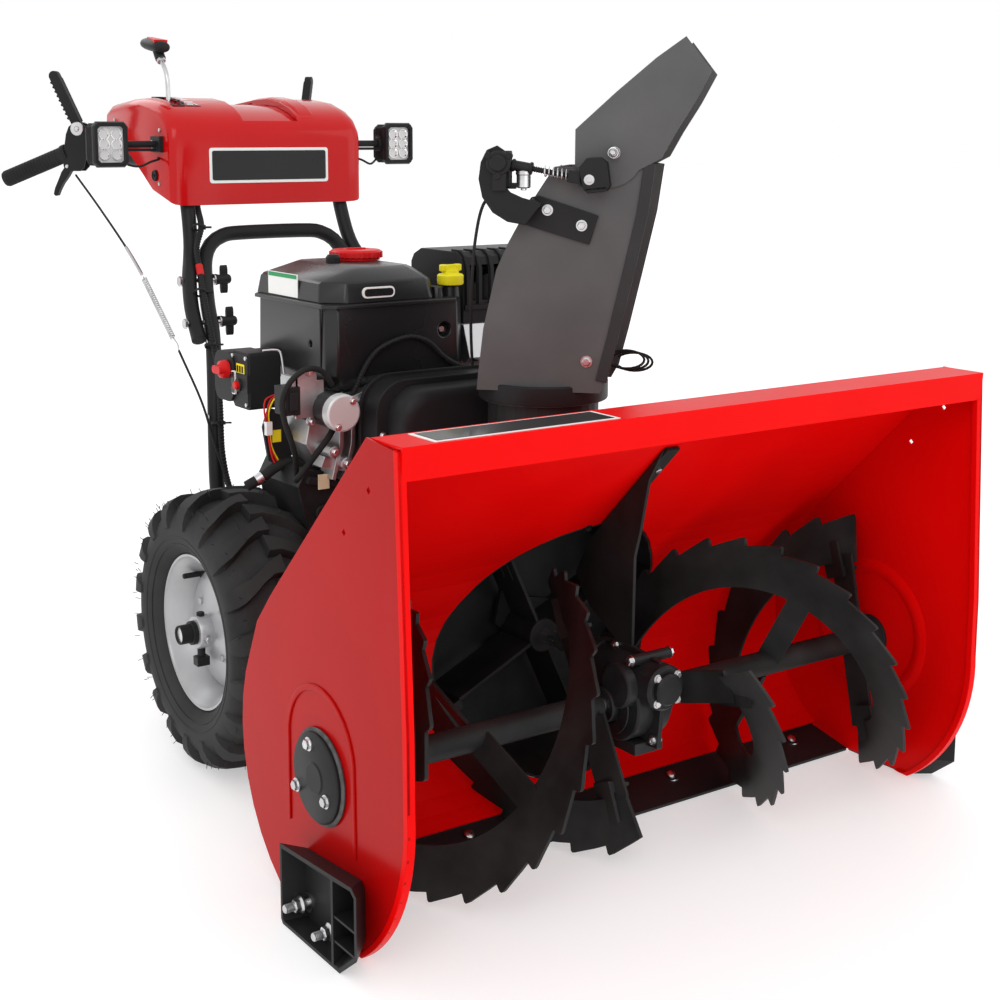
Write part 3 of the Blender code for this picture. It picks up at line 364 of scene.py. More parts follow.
def add(name, bm, finish, body="machine", bevel=0.0, smooth=32.0, stands_for=(), segments=3):
    """Write a shape as a piece that rides on a body."""
    bm.transform(Matrix.Diagonal((MM, MM, MM, 1.0)) @ Matrix.Translation((0.0, -MIDDLE_Y, 0.0)))
    mesh = bpy.data.meshes.new(name)
    bm.to_mesh(mesh)
    bm.free()
    mesh.shade_smooth()
    mesh.set_sharp_from_angle(angle=math.radians(smooth))
    mesh.materials.clear()
    finishes = [finish] if isinstance(finish, str) else list(finish)
    for one in finishes:
        mesh.materials.append(FINISH[one])
    item = bpy.data.objects.new(name, mesh)
    bpy.context.scene.collection.objects.link(item)
    if bevel > 0:
        soften(item, bevel, segments)
    if stands_for:
        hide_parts(*stands_for)
    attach(item, body)
    return item


def soften(item, width, segments=3, angle=40.0):
    """Rounds the body's sharp edges."""
    modifier = item.modifiers.new("soft_edges", "BEVEL")
    modifier.width = width * MM
    modifier.segments = segments
    modifier.limit_method = "ANGLE"
    modifier.angle_limit = math.radians(angle)
    modifier.harden_normals = False


def dress(node, finish, bevel=0.0, segments=2, smooth=32.0):
    """Give a CAD node its finish and softened edges."""
    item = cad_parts[node]
    item.data.materials.clear()
    item.data.materials.append(FINISH[finish])
    item.data.shade_smooth()
    item.data.set_sharp_from_angle(angle=math.radians(smooth))
    if bevel > 0:
        soften(item, bevel, segments)


def both(base, maker, finish, bodies=("machine", "machine"), stands_for=None, **looks):
    """A left piece and its mirror image."""
    for side, body in zip(("left", "right"), bodies):
        bm = maker()
        if side == "right":
            bm = mirrored(bm)
        nodes = [f"{node}_{side}" for node in stands_for] if stands_for else ()
        add(f"{base}_{side}", bm, finish, body, stands_for=nodes, **looks)


# ---------------------------------------------------------------- fasteners

FASTENERS = {}


def keep(shape, body="machine", finish="steel"):
    """Hold a small shape back, to be written with the others of its body."""
    FASTENERS.setdefault((body, finish), []).append(shape)


def hex_bolt(place, direction, size=8.0, finish="steel", body="machine", washer=True, length=0.0):
    """Hex head on a washer, facing along the direction."""
    parts = []
    base = 0.0
    if washer:
        parts.append(turned([(0, 0), (size, 0), (size, size * 0.18), (0, size * 0.18)], steps=24))
        base = size * 0.18
    head = turned([(0, base), (size * 0.74, base), (size * 0.74, base + size * 0.5),
                   (size * 0.6, base + size * 0.6), (0, base + size * 0.6)], steps=6)
    parts.append(head)
    if length > 0:
        parts.append(rod((0, 0, 0), "Z", size * 0.42, base + 1, base + length, 14, 1.0))
    keep(moved(joined(*parts), toward(direction, place)), body, finish)


def dome_bolt(place, direction, size=8.0, finish="steel", body="machine"):
    """Carriage bolt head."""
    rise = [(size * math.cos(math.radians(a)), size * 0.45 * math.sin(math.radians(a))) for a in (0, 25, 50,
                                                                                                  70)]
    profile = [(0, -1)] + [(size, -1)] + rise + [(0, size * 0.45)]
    keep(moved(turned(profile, steps=24), toward(direction, place)), body, finish)


def write_fasteners():
    """One piece for all the fasteners of a body in one finish."""
    for (body, finish), shapes in FASTENERS.items():
        add(f"fasteners_{body}_{finish}", joined(*shapes), finish, body, smooth=30.0)


# ---------------------------------------------------------------- wheels

LUG_PAIRS = 18
NIBS_PER_SIDE = 110
NIB_RADIUS = 0.55


def carcass(x):
    """Radius of the tyre's skin between the lugs."""
    half = 82.5
    share = min(1.0, abs(x) / half)
    return 193.0 - 8.0 * share ** 2 - 26.0 * max(0.0, share - 0.8)


def tyre_body():
    """Tyre without its lugs."""
    profile = [(118, 56), (121, 64), (130, 71), (140, 76), (154, 78.5), (166, 78), (176, 73), (183, 66)]
    crown = [(carcass(x), x) for x in (60, 45, 30, 15, 0, -15, -30, -45, -60)]
    side = [(r, -x) for r, x in reversed(profile)]
    inner = [(128, -50), (165, -70), (186, -50), (190, 0), (186, 50), (165, 70), (128, 50)]
    shape = [(r, -x - WHEEL_X) for r, x in profile + crown + side + inner]
    return turned(shape, (0, AXLE_Y, AXLE_Z), "X", 96)


def lug(angle, side):
    """One curved bar of the chevron tread, from the middle over the shoulder."""
    top = [(-7, 208.4), (12, 208.8), (30, 208.4), (48, 206.4), (62, 202), (73, 195), (79.5, 184), (82, 171),
           (81, 160)]
    base = [(-7, 186), (12, 186), (30, 185), (48, 183), (58, 180), (64, 175), (69, 169), (72, 163), (74, 156)]
    lead = [0.0, 1.2, 4.2, 7.6, 9.4, 10.4, 11.0, 11.4, 11.6]
    half = [4.6, 3.4, 3.2, 3.6, 4.6, 4.8, 4.4, 3.6, 2.4]
    loops = []
    for crest, foot, ahead, wide in zip(top, base, lead, half):
        loop = []
        for (x, radius), share in ((foot, -1.15), (crest, -0.85), (crest, 0.85), (foot, 1.15)):
            turn = math.radians(angle + ahead + wide * share)
            loop.append((-WHEEL_X + side * x, AXLE_Y + radius * math.sin(turn),
                         AXLE_Z - radius * math.cos(turn)))
        loops.append(loop)
    return skinned(loops)


def nibs():
    """Hair-thin moulding nibs on the shoulders."""
    source = random.Random(4)
    shapes = []
    for side in (-1.0, 1.0):
        for i in range(NIBS_PER_SIDE):
            angle = math.radians(i * 360.0 / NIBS_PER_SIDE + source.uniform(-1.5, 1.5))
            radius = source.choice((207.0, 200.0, 192.0))
            x = -WHEEL_X + side * {207.0: 34.0, 200.0: 66.0, 192.0: 75.0}[radius]
            out = Vector((0.0, math.sin(angle), -math.cos(angle)))
            foot = Vector((x, AXLE_Y, AXLE_Z)) + out * (radius - 2.0)
            if foot.z < 24.0:
                continue
            lean = Vector((side * source.uniform(0.1, 1.0), source.uniform(-0.4, 0.4),
                           source.uniform(-0.4, 0.4)))
            tip = foot + (out + lean).normalized() * source.uniform(6.0, 11.0)
            shapes.append(pipe([foot, foot.lerp(tip, 0.5), tip], NIB_RADIUS, 4))
    return joined(*shapes)


def tyre():
    """Tyre with its lugs and moulding nibs."""
    pitch = 360.0 / LUG_PAIRS
    lugs = [lug(i * pitch, 1.0) for i in range(LUG_PAIRS)]
    lugs += [lug((i + 0.5) * pitch, -1.0) for i in range(LUG_PAIRS)]
    ribs = [turned([(r - 1.0, x), (r, x + 0.8), (r - 1.0, x + 1.6), (r - 3.0, x + 0.8)], (0, AXLE_Y, AXLE_Z),
                   "X", 96)
            for r, x in ((136.0, -WHEEL_X - 74.5), (147.0, -WHEEL_X - 78.0))]
    return joined(tyre_body(), *lugs, *ribs, nibs())


def rim():
    """Pressed wheel disc and rim."""
    mid = -WHEEL_X
    flange = [(105, mid - 52), (111, mid - 55), (113.5, mid - 60), (117, mid - 60.5), (118.5, mid - 57.5),
              (117, mid - 54)]
    barrel = [(113, mid - 50), (108, mid - 46), (107, mid - 20), (100, mid - 10), (100, mid + 20),
              (107, mid + 40), (117, mid + 56)]
    back = [(117, mid + 60), (104, mid + 44), (97, mid + 20), (97, mid - 8), (101, mid - 14)]
    disc = [(92, mid - 19), (84, mid - 26), (74, mid - 30), (58, mid - 31.5), (44, mid - 35), (32, mid - 39),
            (25, mid - 41)]
    hub = [(25, mid - 60), (23.5, mid - 62), (15, mid - 62), (14, mid - 60), (14, mid + 40), (25, mid + 40),
           (25, mid - 30)]
    front = [(44, mid - 30), (58, mid - 27), (84, mid - 21), (90, mid - 15), (101.5, mid - 20)]
    profile = flange + barrel + back + front[::-1] + hub[::-1] + disc[::-1]
    return turned(profile, (0, AXLE_Y, AXLE_Z), "X", 96)


def rim_details():
    """Lock pin, its block and the axle's end cap on the left wheel."""
    mid = -WHEEL_X
    parts = [
        turned([(6, mid - 78), (13.6, mid - 88), (14.4, mid - 86), (14.4, mid - 60), (6, mid - 60)],
               (0, AXLE_Y, AXLE_Z), "X", 36),
        rod((0, AXLE_Y, AXLE_Z), "X", 18.0, mid - 70, mid - 61, 28, 1.0),
        rod((mid - 52, AXLE_Y, AXLE_Z), "Z", 6.0, AXLE_Z - 44, AXLE_Z + 30, 18, 1.0),
        block(mid - 62, mid - 42, AXLE_Y - 8, AXLE_Y + 8, AXLE_Z - 52, AXLE_Z - 38),
    ]
    return joined(*parts)


def valve():
    """Tyre valve in the rim."""
    mid = -WHEEL_X
    angle = math.radians(40)
    y, z = AXLE_Y + 92 * math.sin(angle), AXLE_Z + 92 * math.cos(angle)
    return joined(rod((0, y, z), "X", 4.2, mid - 52, mid - 14, 14, 1.0),
                  rod((0, y, z), "X", 7.5, mid - 24, mid - 16, 16, 1.5))


def build_wheels():
    wheels = ("wheel_left", "wheel_right")
    both("tyre", tyre, "tyre_rubber", wheels, stands_for=("tyre",), smooth=38)
    both("rim", rim, "rim_silver", wheels, stands_for=("rim",), smooth=50)
    both("hub_pin", rim_details, "black_paint", wheels, bevel=0.8)
    both("valve_stem", valve, "rubber", wheels)
    for side in ("left", "right"):
        dress(f"axle_{side}", "steel", 0.8)
        sign = -1.0 if side == "left" else 1.0
        hex_bolt((sign * (WHEEL_X + 52), AXLE_Y - 25, AXLE_Z - 6), (0, -1, 0), 7, "steel", f"wheel_{side}")
        for degrees in (135, 225, 315, 45):
            angle = math.radians(degrees)
            place = (sign * (WHEEL_X + 31.5), AXLE_Y + 50 * math.cos(angle), AXLE_Z + 50 * math.sin(angle))
            hex_bolt(place, (sign, 0, 0), 7.5, "rim_silver", f"wheel_{side}")


# ---------------------------------------------------------------- augers

RIBBON_TURN = 289.5
RIBBON_PITCH = 470.0
RIBBON_START = 62.0
RIBBON_TEETH = 18


def ribbon_spot(side, turned_by, first_angle):
    """Place along the tube, and the way out from it, after some degrees of a ribbon's turn."""
    angle = math.radians(first_angle - turned_by)
    return side * (RIBBON_START + RIBBON_PITCH * turned_by / 360.0), Vector((0.0, -math.cos(angle), math.sin(angle)))


def onto_tube(bm, side, turned_by, first_angle, lean=0.0):
    """Stand a shape, made along +Z, on the tube."""
    along, out = ribbon_spot(side, turned_by, first_angle)
    basis = Matrix((Vector((1, 0, 0)), out.cross(Vector((1, 0, 0))), out)).transposed().to_4x4()
    return moved(bm, Matrix.Translation((along, AUGER_Y, AUGER_Z)) @ basis @ Matrix.Rotation(lean, 4, "Z"))


def ribbon(side, first_angle):
    """One ribbon with hooked saw teeth."""
    tooth = RIBBON_TURN / RIBBON_TEETH
    stations = []
    for i in range(RIBBON_TEETH):
        for share, rise in ((0.0, 0.0), (0.3, 0.25), (0.6, 0.55), (0.88, 0.95), (0.95, 1.0), (0.985, 0.82)):
            stations.append(((i + share) * tooth, rise))
    stations.append((RIBBON_TURN, 0.1))
    loops = []
    for turned_by, rise in stations:
        along, out = ribbon_spot(side, turned_by, first_angle)
        outer = 177.5 + 12.5 * rise
        loops.append([Vector((along + shift, AUGER_Y, AUGER_Z)) + out * radius
                      for radius, shift in ((118.0, -2.5), (outer, -2.5), (outer, 2.5), (118.0, 2.5))])
    return skinned(loops)


def arm(side, turned_by, first_angle, width, outer, lean=0.0):
    """Flat bar from the tube to a ribbon."""
    return onto_tube(block(-2.5, 2.5, -width / 2, width / 2, 12.0, outer), side, turned_by, first_angle, lean)


def gusset(side, turned_by, first_angle):
    """Small folded bracket where an arm meets its ribbon."""
    plate = prism("Y", [(-2, 96), (30, 104), (30, 108), (3, 112), (3, 150), (-2, 150)], -17.0, 17.0)
    return onto_tube(plate, side, turned_by, first_angle)


def auger(side, angle):
    """Tube with two ribbons, half a turn apart, and their arms."""
    low, high = sorted((side * 56.0, side * 446.0))
    tube = turned([(13.2, low), (TUBE_RADIUS - 1, low), (TUBE_RADIUS, low + 1), (TUBE_RADIUS, high - 1),
                   (TUBE_RADIUS - 1, high), (13.2, high)], (0, AUGER_Y, AUGER_Z), "X", 40)
    shapes = [tube]
    for start in (angle, angle + 180.0):
        shapes.append(ribbon(side, start))
        shapes.append(arm(side, 7.0, start, 46.0, 122.0, lean=side * 0.25))
        shapes.append(arm(side, RIBBON_TURN - 8.0, start, 40.0, 130.0))
        shapes.append(arm(side, RIBBON_TURN * 0.5, start, 34.0, 124.0, lean=side * 0.5))
        shapes.append(gusset(side, 12.0, start))
        shapes.append(gusset(side, RIBBON_TURN - 14.0, start))
    return joined(*shapes)


def build_augers():
    add("auger_left", auger(-1.0, 125.0), "auger_black", "auger", stands_for=("auger_left",))
    add("auger_right", auger(1.0, 24.0), "auger_black", "auger", stands_for=("auger_right",))
    dress("auger_shaft", "steel", 0.5)
    dress("impeller_shaft", "steel", 0.5)
    for sign in (-1, 1):
        for x in (92.0, 408.0):
            place = (sign * x, AUGER_Y - TUBE_RADIUS, AUGER_Z)
            hex_bolt(place, (0, -1, 0), 6.5, "steel", "auger", length=9)


def impeller():
    """Hub with four blades, each with its lip, foot and pressed beads."""
    shapes = [rod((0, 0, IMPELLER_Z), "Y", 25.0, 408, 486, 32, 1.5)]
    for quarter in range(4):
        turn = Matrix.Rotation(math.radians(-90.0 * quarter - 25.0), 4, "Y")
        plate = block(20, 176, 410, 482, -2.5, 2.5)
        lip = block(160, 176, 406, 482, -2.5, 12)
        foot = prism("Y", [(18, -2), (70, -2), (24, 34), (14, 30)], 474, 482)
        beads = [block(96, 140, low, low + 12, 2.4, 4.6) for low in (424, 446)]
        blade = joined(plate, lip, foot, *beads)
        shapes.append(moved(blade, Matrix.Translation((0, 0, IMPELLER_Z)) @ turn))
    return joined(*shapes)


def worm_parts():
    """Screw thread of the worm, on the impeller shaft."""
    points = []
    for i in range(60):
        angle = math.radians(i * 30)
        points.append((13.0 * math.cos(angle), AUGER_Y - 18 + 36 * i / 59,
                       IMPELLER_Z + 13.0 * math.sin(angle)))
    return pipe(points, 1.4, 6)


def belt():
    """V belt round both pulleys."""
    low, high = 104.0, 40.0
    tilt = math.degrees(math.asin((low - high) / (CRANK_Z - IMPELLER_Z)))
    rows = []
    for grow, wide in ((0.0, 3.6), (7.0, 4.6)):
        line = arc((0, IMPELLER_Z), low + grow, 180.0 - tilt, 360.0 + tilt, 40)
        rows.append((line + arc((0, CRANK_Z), high + grow, tilt, 180.0 - tilt, 20), wide))
    (inner_line, inner), (outer_line, outer) = rows
    loops = [((x0, PULLEY_Y - inner, z0), (x1, PULLEY_Y - outer, z1), (x1, PULLEY_Y + outer, z1),
              (x0, PULLEY_Y + inner, z0)) for (x0, z0), (x1, z1) in zip(inner_line, outer_line)]
    return skinned(loops, ends=False)


def build_drive():
    add("impeller", impeller(), "auger_black", "impeller_drive", stands_for=("impeller",), bevel=0.6)
    add("worm_thread", worm_parts(), "steel", "impeller_drive")
    add("drive_belt", belt(), "rubber")
    dress("crankshaft", "steel", 0.4)


# ---------------------------------------------------------------- housing

def panel_edge():
    """Side view of the panel's front edge, from the top corner to the floor."""
    belly = arc((256.0, 201.0), 238.0, 176.0, 236.0, 16)
    return [(33.0, 615.0), (19.0, 300.0)] + belly + [(140.0, 4.0)]


def front_hem():
    """Folded edge along the panel's front."""
    line = panel_edge()
    inner = [(y + 9.0, z + 1.5) for y, z in line]
    return prism("X", line + inner[::-1], -PANEL_X - 0.6, -PANEL_X + 10.0)


def emboss():
    """Pressed arch on the panel's outer face, round the bearing."""
    arch = arc((216.0, 222.0), 84.0, 8.0, 172.0, 18)
    outer = [(300.0, 110.0)] + arch + [(131.0, 122.0)]
    inner_arch = arc((216.0, 222.0), 76.0, 172.0, 8.0, 18)
    inner = [(139.0, 124.0)] + inner_arch + [(292.0, 112.0)]
    return prism("X", outer + inner, -PANEL_X - 2.4, -PANEL_X + 0.5)


def cover_plate():
    """Round bearing cover with a low boss in its middle."""
    x = -PANEL_X
    disc = turned([(0, x - 10.0), (52, x - 10.0), (55, x - 8.5), (55, x - 5.0), (0, x - 5.0)],
                  (0, AUGER_Y, AUGER_Z), "X", 64)
    boss = turned([(0, x - 11.5), (18, x - 11.5), (21, x - 9.5), (0, x - 9.5)], (0, AUGER_Y, AUGER_Z), "X",
                  40)
    return joined(disc, boss)


def felt_ring():
    """Ring of the shaft's bearing on the side panel."""
    x = -PANEL_X
    profile = [(24, x - 5.0), (58, x - 5.0), (59.5, x - 3), (58, x - 0.6), (24, x - 0.6)]
    return turned(profile, (0, AUGER_Y, AUGER_Z), "X", 72)


def bearing_ring():
    """Bearing housing inside the panel."""
    x = -PANEL_X + 3.4
    profile = [(13.2, x), (34, x), (34, x + 5), (24, x + 9), (20, x + 14), (13.2, x + 14)]
    return turned(profile, (0, AUGER_Y, AUGER_Z), "X", 40)


def inner_ring():
    """Raised pressed ring that shows on the inside of the panel."""
    x = -PANEL_X + 3.0
    profile = [(84, x), (92, x + 3.5), (100, x + 3.5), (108, x)]
    return turned(profile, (0, AUGER_Y, AUGER_Z + 12), "X", 72)


def lip_plate():
    """Blank name plate on the lip's top face."""
    outer = block(-424, -170, 34, 88, 621.1, 621.9)
    inner = block(-418, -176, 38, 84, 621.3, 622.4)
    return outer, inner


def flared(rim, root, outer, inner):
    """Body between an outline at the outer X and a smaller one at the inner X."""
    return skinned([[(x, y, z) for y, z in line] for x, line in ((outer, rim), (inner, root))])


def skid_shoe():
    """Moulded shoe: a tray that narrows towards the panel, with a wall and three cells at its front."""
    outer, inner, floor = -504.5, -470.6, -475.6
    rim = [(73, 33), (113, 0.5), (254, 0.5), (258, 6), (258, 103), (84, 117), (73, 109)]
    root = [(112, 33), (136, 0.5), (248, 0.5), (251, 6), (251, 90), (120, 102), (112, 94)]
    front_rim = [(77.5, 36), (115, 5), (127, 5), (127, 108), (86, 112), (77.5, 106)]
    front_root = [(116.5, 36), (124, 24), (128.5, 20), (128.5, 94), (122, 96), (116.5, 91)]
    rear_rim = [(132, 5), (251, 5), (253.5, 9), (253.5, 98), (132, 108)]
    rear_root = [(134, 6), (245, 6), (247, 10), (247, 86), (134, 96)]
    pockets = [flared(line, foot, outer - 0.5, floor)
               for line, foot in ((front_rim, front_root), (rear_rim, rear_root))]
    tray = cut(flared(rim, root, outer, inner), *pockets)
    ribs = [prism("Z", [(-503.5, 76), (-503.5, 130), (-474, 130), (-474, 114)], z, z + 3.0) for z in (33, 63)]
    return joined(tray, *ribs)


def stud(sign, y, z):
    """Threaded stud with its washer and flange nut in the shoe's pocket."""
    out = (sign, 0, 0)
    base = PANEL_X + 5.4
    plate = turned([(0, 0), (12, 0), (12, 2.4), (0, 2.4)], steps=32)
    flange = turned([(0, 10), (11, 10), (11, 12), (8.5, 14), (0, 14)], steps=32)
    nut = turned([(0, 14), (8.4, 14), (8.4, 20), (7.4, 21), (0, 21)], steps=6)
    shank = turned([(0, 2), (5, 2), (5, 33), (4.2, 34), (0, 34)], steps=24)
    threads = coil((0, 0, 3), (0, 0, 33), 5.0, 0.5, 14)
    keep(moved(joined(plate, flange, nut, shank, threads), toward(out, (sign * base, y, z))))


def strap():
    """Upright plate between the lip's slope and the gearbox, with its top folded along the slope."""
    outline = [(152, 545), (180, 500), (196, 429), (207, 391), (209, 268), (240, 268), (300, 300), (333, 342),
               (304, 394)]
    plate = prism("X", outline, -2.5, 2.5)
    fold = prism("X", [(150, 548), (304, 396), (301, 392), (147, 544)], 0, 22)
    return joined(plate, fold)


def build_housing():
    for side in ("left", "right"):
        # Painted shade: the left panel takes the darker copy of the red paint, the right one the plain red.
        finish = "dark_red_paint" if side == "left" else "red_paint"
        dress(f"side_panel_{side}", finish, 0.8)
    dress("housing_back", "red_paint", 0.8, smooth=20)
    dress("scraper_bar", "black_paint", 0.8)
    # Painted shade: the drum takes the augers' black so that its inside reads as the dark of a shaded hollow.
    dress("impeller_drum", "auger_black", 0.8)
    both("skid_shoe", skid_shoe, "black_plastic", stands_for=("skid_shoe",), bevel=1.2)
    add("gearbox_strap", strap(), "auger_black", bevel=0.6, stands_for=("gearbox_strap",))
    both("panel_hem", front_hem, "red_paint", bevel=1.2)
    # The pressed arches take the darker copy of the red paint, painted shade.
    both("panel_emboss", emboss, "dark_red_paint", bevel=1.6)
    both("bearing_cover", cover_plate, "black_paint", bevel=0.5)
    both("felt_ring", felt_ring, "felt")
    both("bearing_housing", bearing_ring, "black_paint", bevel=0.4)
    both("panel_inner_ring", inner_ring, "red_paint")
    outer, inner = lip_plate()
    add("lip_plate_border", outer, "white_print")
    add("lip_plate", inner, "black_print")
    for sign in (-1, 1):
        for y, z in ((224, 234), (256, 172), (184, 176)):
            hex_bolt((sign * (PANEL_X + 10.0), y, z), (sign, 0, 0), 8.5)
        for y, z in ((240, 26), (168, 22)):
            stud(sign, y, z)
    for x in (-205, 150, 395):
        dome_bolt((x, 292, 12.5), (0, -0.35, -0.93), 8)
        dome_bolt((x, 296, 20.0), (0, -0.5, 0.86), 7)
    for y, z in ((180, 514), (262, 434)):
        hex_bolt((12, y, z), (0, -0.7, -0.7), 6.5)
    for degrees in range(20, 360, 40):
        angle = math.radians(degrees)
        dome_bolt((180 * math.cos(angle), 493.6, IMPELLER_Z + 180 * math.sin(angle)), (0, -1, 0), 6)
    hex_bolt((-20, 284, 418), (0, -0.7, -0.7), 6, "black_paint")


# ---------------------------------------------------------------- gearbox

def gearbox():
    """Cast worm gearbox with its split line, covers and bosses."""
    y, z = AUGER_Y, AUGER_Z
    profile = [(13.2, -50), (23, -50), (24, -48), (24, -36), (34, -31), (50, -30), (53, -27), (53, 27),
               (50, 30),
               (34, 31), (24, 36), (24, 48), (23, 50), (13.2, 50)]
    body = turned(profile, (0, y, z), "X", 64)
    snout = rod((0, 0, IMPELLER_Z), "Y", 31, 138, 288, 40, 4.0)
    nose = rod((0, 0, IMPELLER_Z), "Y", 22, 130, 140, 32, 3.0)
    tail = rod((0, 0, IMPELLER_Z), "Y", 34, 262, 276, 40, 2.0)
    flange = prism("X", [(152, 142), (252, 134), (272, 176), (270, 262), (222, 270), (150, 262), (146, 200)],
                   -3.5, 3.5)
    web = block(-2.5, 2.5, 180, 250, 138, 262)
    side_cap = turned([(0, -46), (27, -46), (30, -43), (30, -30), (0, -30)], (0, 190, 226), "X", 40)
    boss = rod((0, 176, 262), "X", 7.5, -30, 34, 24, 1.0)
    foot = block(-24, 24, 172, 250, 130, 146)
    ribs = [turned([(26, x - 1.5), (42, x - 1.5), (42, x + 1.5), (26, x + 1.5)], (0, y, z), "X", 48)
            for x in (-38, 38)]
    return joined(body, snout, nose, tail, flange, web, side_cap, boss, foot, *ribs)


def build_gearbox():
    add("gearbox", gearbox(), "cast_iron", bevel=1.4, smooth=40, stands_for=("gearbox_case",))
    for y, z in ((160, 152), (245, 140), (262, 180), (162, 250), (240, 262), (154, 204)):
        for sign in (-1, 1):
            hex_bolt((sign * 3.6, y, z), (sign, 0, 0), 7, length=5)
    for degrees in (45, 135, 225, 315):
        angle = math.radians(degrees)
        hex_bolt((24 * math.cos(angle), 138, IMPELLER_Z + 24 * math.sin(angle)), (0, -1, 0), 6)
    hex_bolt((-30, 176, 262), (-1, 0, 0), 8, length=4)
    hex_bolt((34, 176, 262), (1, 0, 0), 8, length=4)


# ---------------------------------------------------------------- chute

CHUTE_SPACE = Matrix.Translation(Vector((0.0, NECK_Y, 0.0))) @ Matrix.Rotation(CHUTE_YAW, 4, "Z")
CHUTE_NEAR = -75.0
DEFLECTOR_PIVOT = Vector((96.0, 0.0, 920.0))
ACTUATOR_START = Vector((-45.0, -91.0, 905.0))
ACTUATOR_END = Vector((74.0, -91.0, 884.0))
CHUTE_BACK = [(-81, 597), (-79, 620), (-72, 681), (-54, 762), (-37, 800), (-14, 842), (24, 900)]
CHUTE_FRONT = [(96, 612), (110, 668), (129, 751), (148, 837), (157, 902)]


def in_chute(bm):
    """A body drawn at the chute's rest, turned into place."""
    return moved(bm, CHUTE_SPACE)


def chute_spot(place):
    """A point drawn at the chute's rest, turned into place."""
    return CHUTE_SPACE @ Vector(place)


def chute_way(direction):
    """A direction drawn at the chute's rest, turned into place."""
    return CHUTE_SPACE.to_3x3() @ Vector(direction)


def offset_line(points, distance):
    """The line shifted to its right by a distance."""
    shifted = []
    for i, point in enumerate(points):
        before = Vector(points[max(i - 1, 0)])
        after = Vector(points[min(i + 1, len(points) - 1)])
        ahead = (after - before).normalized()
        shifted.append((point[0] + ahead.y * distance, point[1] - ahead.x * distance))
    return shifted


def front_flange(side):
    """Flat flange turned outwards along a wall's front edge."""
    outer = offset_line(CHUTE_FRONT, 1.5)
    inner = offset_line(CHUTE_FRONT, -14.0)
    low, high = sorted((side * 75.2, side * 78.0))
    return in_chute(prism("Y", outer + inner[::-1], low, high))


def back_seam():
    """Bead down the middle of the chute's back."""
    outer = offset_line(CHUTE_BACK, -1.8)
    return in_chute(prism("Y", CHUTE_BACK + outer[::-1], -3.0, 3.0))


def foot_ring():
    """Smooth turning collar round the chute's foot."""
    return turned([(80, 578), (90, 578), (91, 580), (91, 603), (89.5, 605), (87, 605), (86, 603), (80, 603)],
                  (0, NECK_Y, 0), "Z", 96)


def build_chute():
    dress("chute", "chute_grey", 1.6, 3)
    dress("chute_deflector", "chute_grey", 1.6, 3)
    for side in (-1, 1):
        add(f"chute_flange_{'near' if side < 0 else 'far'}", front_flange(side), "chute_dark", "chute_turret",
            bevel=0.8)
    add("chute_seam", back_seam(), "chute_grey", "chute_turret", bevel=0.5)
    add("chute_ring", foot_ring(), "black_plastic", "chute_turret", bevel=0.6)
    hex_bolt(chute_spot((70, CHUTE_NEAR, 640)), chute_way((0, -1, 0)), 8, "steel", "chute_turret")
    for side in (-1, 1):
        out = chute_way((0, side, 0))
        pivot = chute_spot((DEFLECTOR_PIVOT.x + 8, side * 78.6, DEFLECTOR_PIVOT.z - 1))
        hex_bolt(pivot, out, 8, "steel", "deflector", length=20)
        add(f"hood_pivot_spring_{'near' if side < 0 else 'far'}",
            coil(pivot + out * 6, pivot + out * 16, 6.5, 1.1, 3), "steel", "deflector")
    build_actuator()


def actuator_hook():
    """C-shaped plate that carries the motor."""
    outline = [(-10, 824), (12, 853), (-14, 860), (-30, 867), (-40, 878), (-44, 892), (-42, 908), (-36, 920),
               (-48, 928), (-62, 922), (-70, 906), (-73, 884), (-68, 860), (-54, 840), (-34, 828)]
    return in_chute(prism("Y", outline, -105.4, -101.4))


def actuator_foot():
    """Bolted foot of the hook, with its bent web."""
    face = CHUTE_NEAR - 0.4
    outline = [(-18, 824), (72, 798), (84, 836), (4, 862), (-6, 860), (-12, 852)]
    plate = prism("Y", outline, face - 4, face)
    web = prism("Y", [(-14, 826), (8, 852), (-2, 859), (-26, 832)], face - 27, face)
    return in_chute(joined(plate, web))


def motor_body():
    """Gear motor: split case, end cap, cable socket."""
    start = ACTUATOR_START
    case = block(start.x - 13, start.x + 13, start.y - 7.4, start.y + 12.5, start.z - 31, start.z + 15)
    seam = block(start.x - 14, start.x + 14, start.y + 1.5, start.y + 3.5, start.z - 32, start.z + 16)
    cap = rod((start.x, 0, start.z), "Y", 11.0, start.y - 10.5, start.y - 6.0, 28, 1.0)
    foot = block(start.x - 9, start.x + 20, start.y - 3, start.y + 7, start.z - 34, start.z - 26)
    plug = block(start.x - 19, start.x - 12, start.y - 4, start.y + 8, start.z - 24, start.z - 8)
    return in_chute(joined(case, seam, cap, foot, plug))


def gear_housing():
    """Round gear case on the hook's outer side, with its lugs."""
    start = ACTUATOR_START
    disc = rod((start.x, 0, start.z), "Y", 16.5, -113.0, -106.0, 40, 1.5)
    cap = rod((start.x, 0, start.z), "Y", 11.0, -117.0, -112.0, 32, 1.5)
    lugs = []
    for degrees in (35, 145, 265):
        angle = math.radians(degrees)
        lugs.append(rod((start.x + 17 * math.cos(angle), 0, start.z + 17 * math.sin(angle)), "Y", 5.0, -113.5,
                        -106, 20, 0.8))
    tail = block(start.x - 8, start.x + 10, -112.0, -106.0, start.z - 36, start.z - 10)
    return in_chute(joined(disc, cap, *lugs, tail))


def clevis_block():
    """Block on the rod, just before its fork."""
    end = ACTUATOR_END
    return in_chute(prism("Y", [(end.x - 30, end.z - 3), (end.x - 12, end.z - 6), (end.x - 9, end.z + 10),
                                (end.x - 27, end.z + 13)],
                          end.y - 9, end.y + 8))


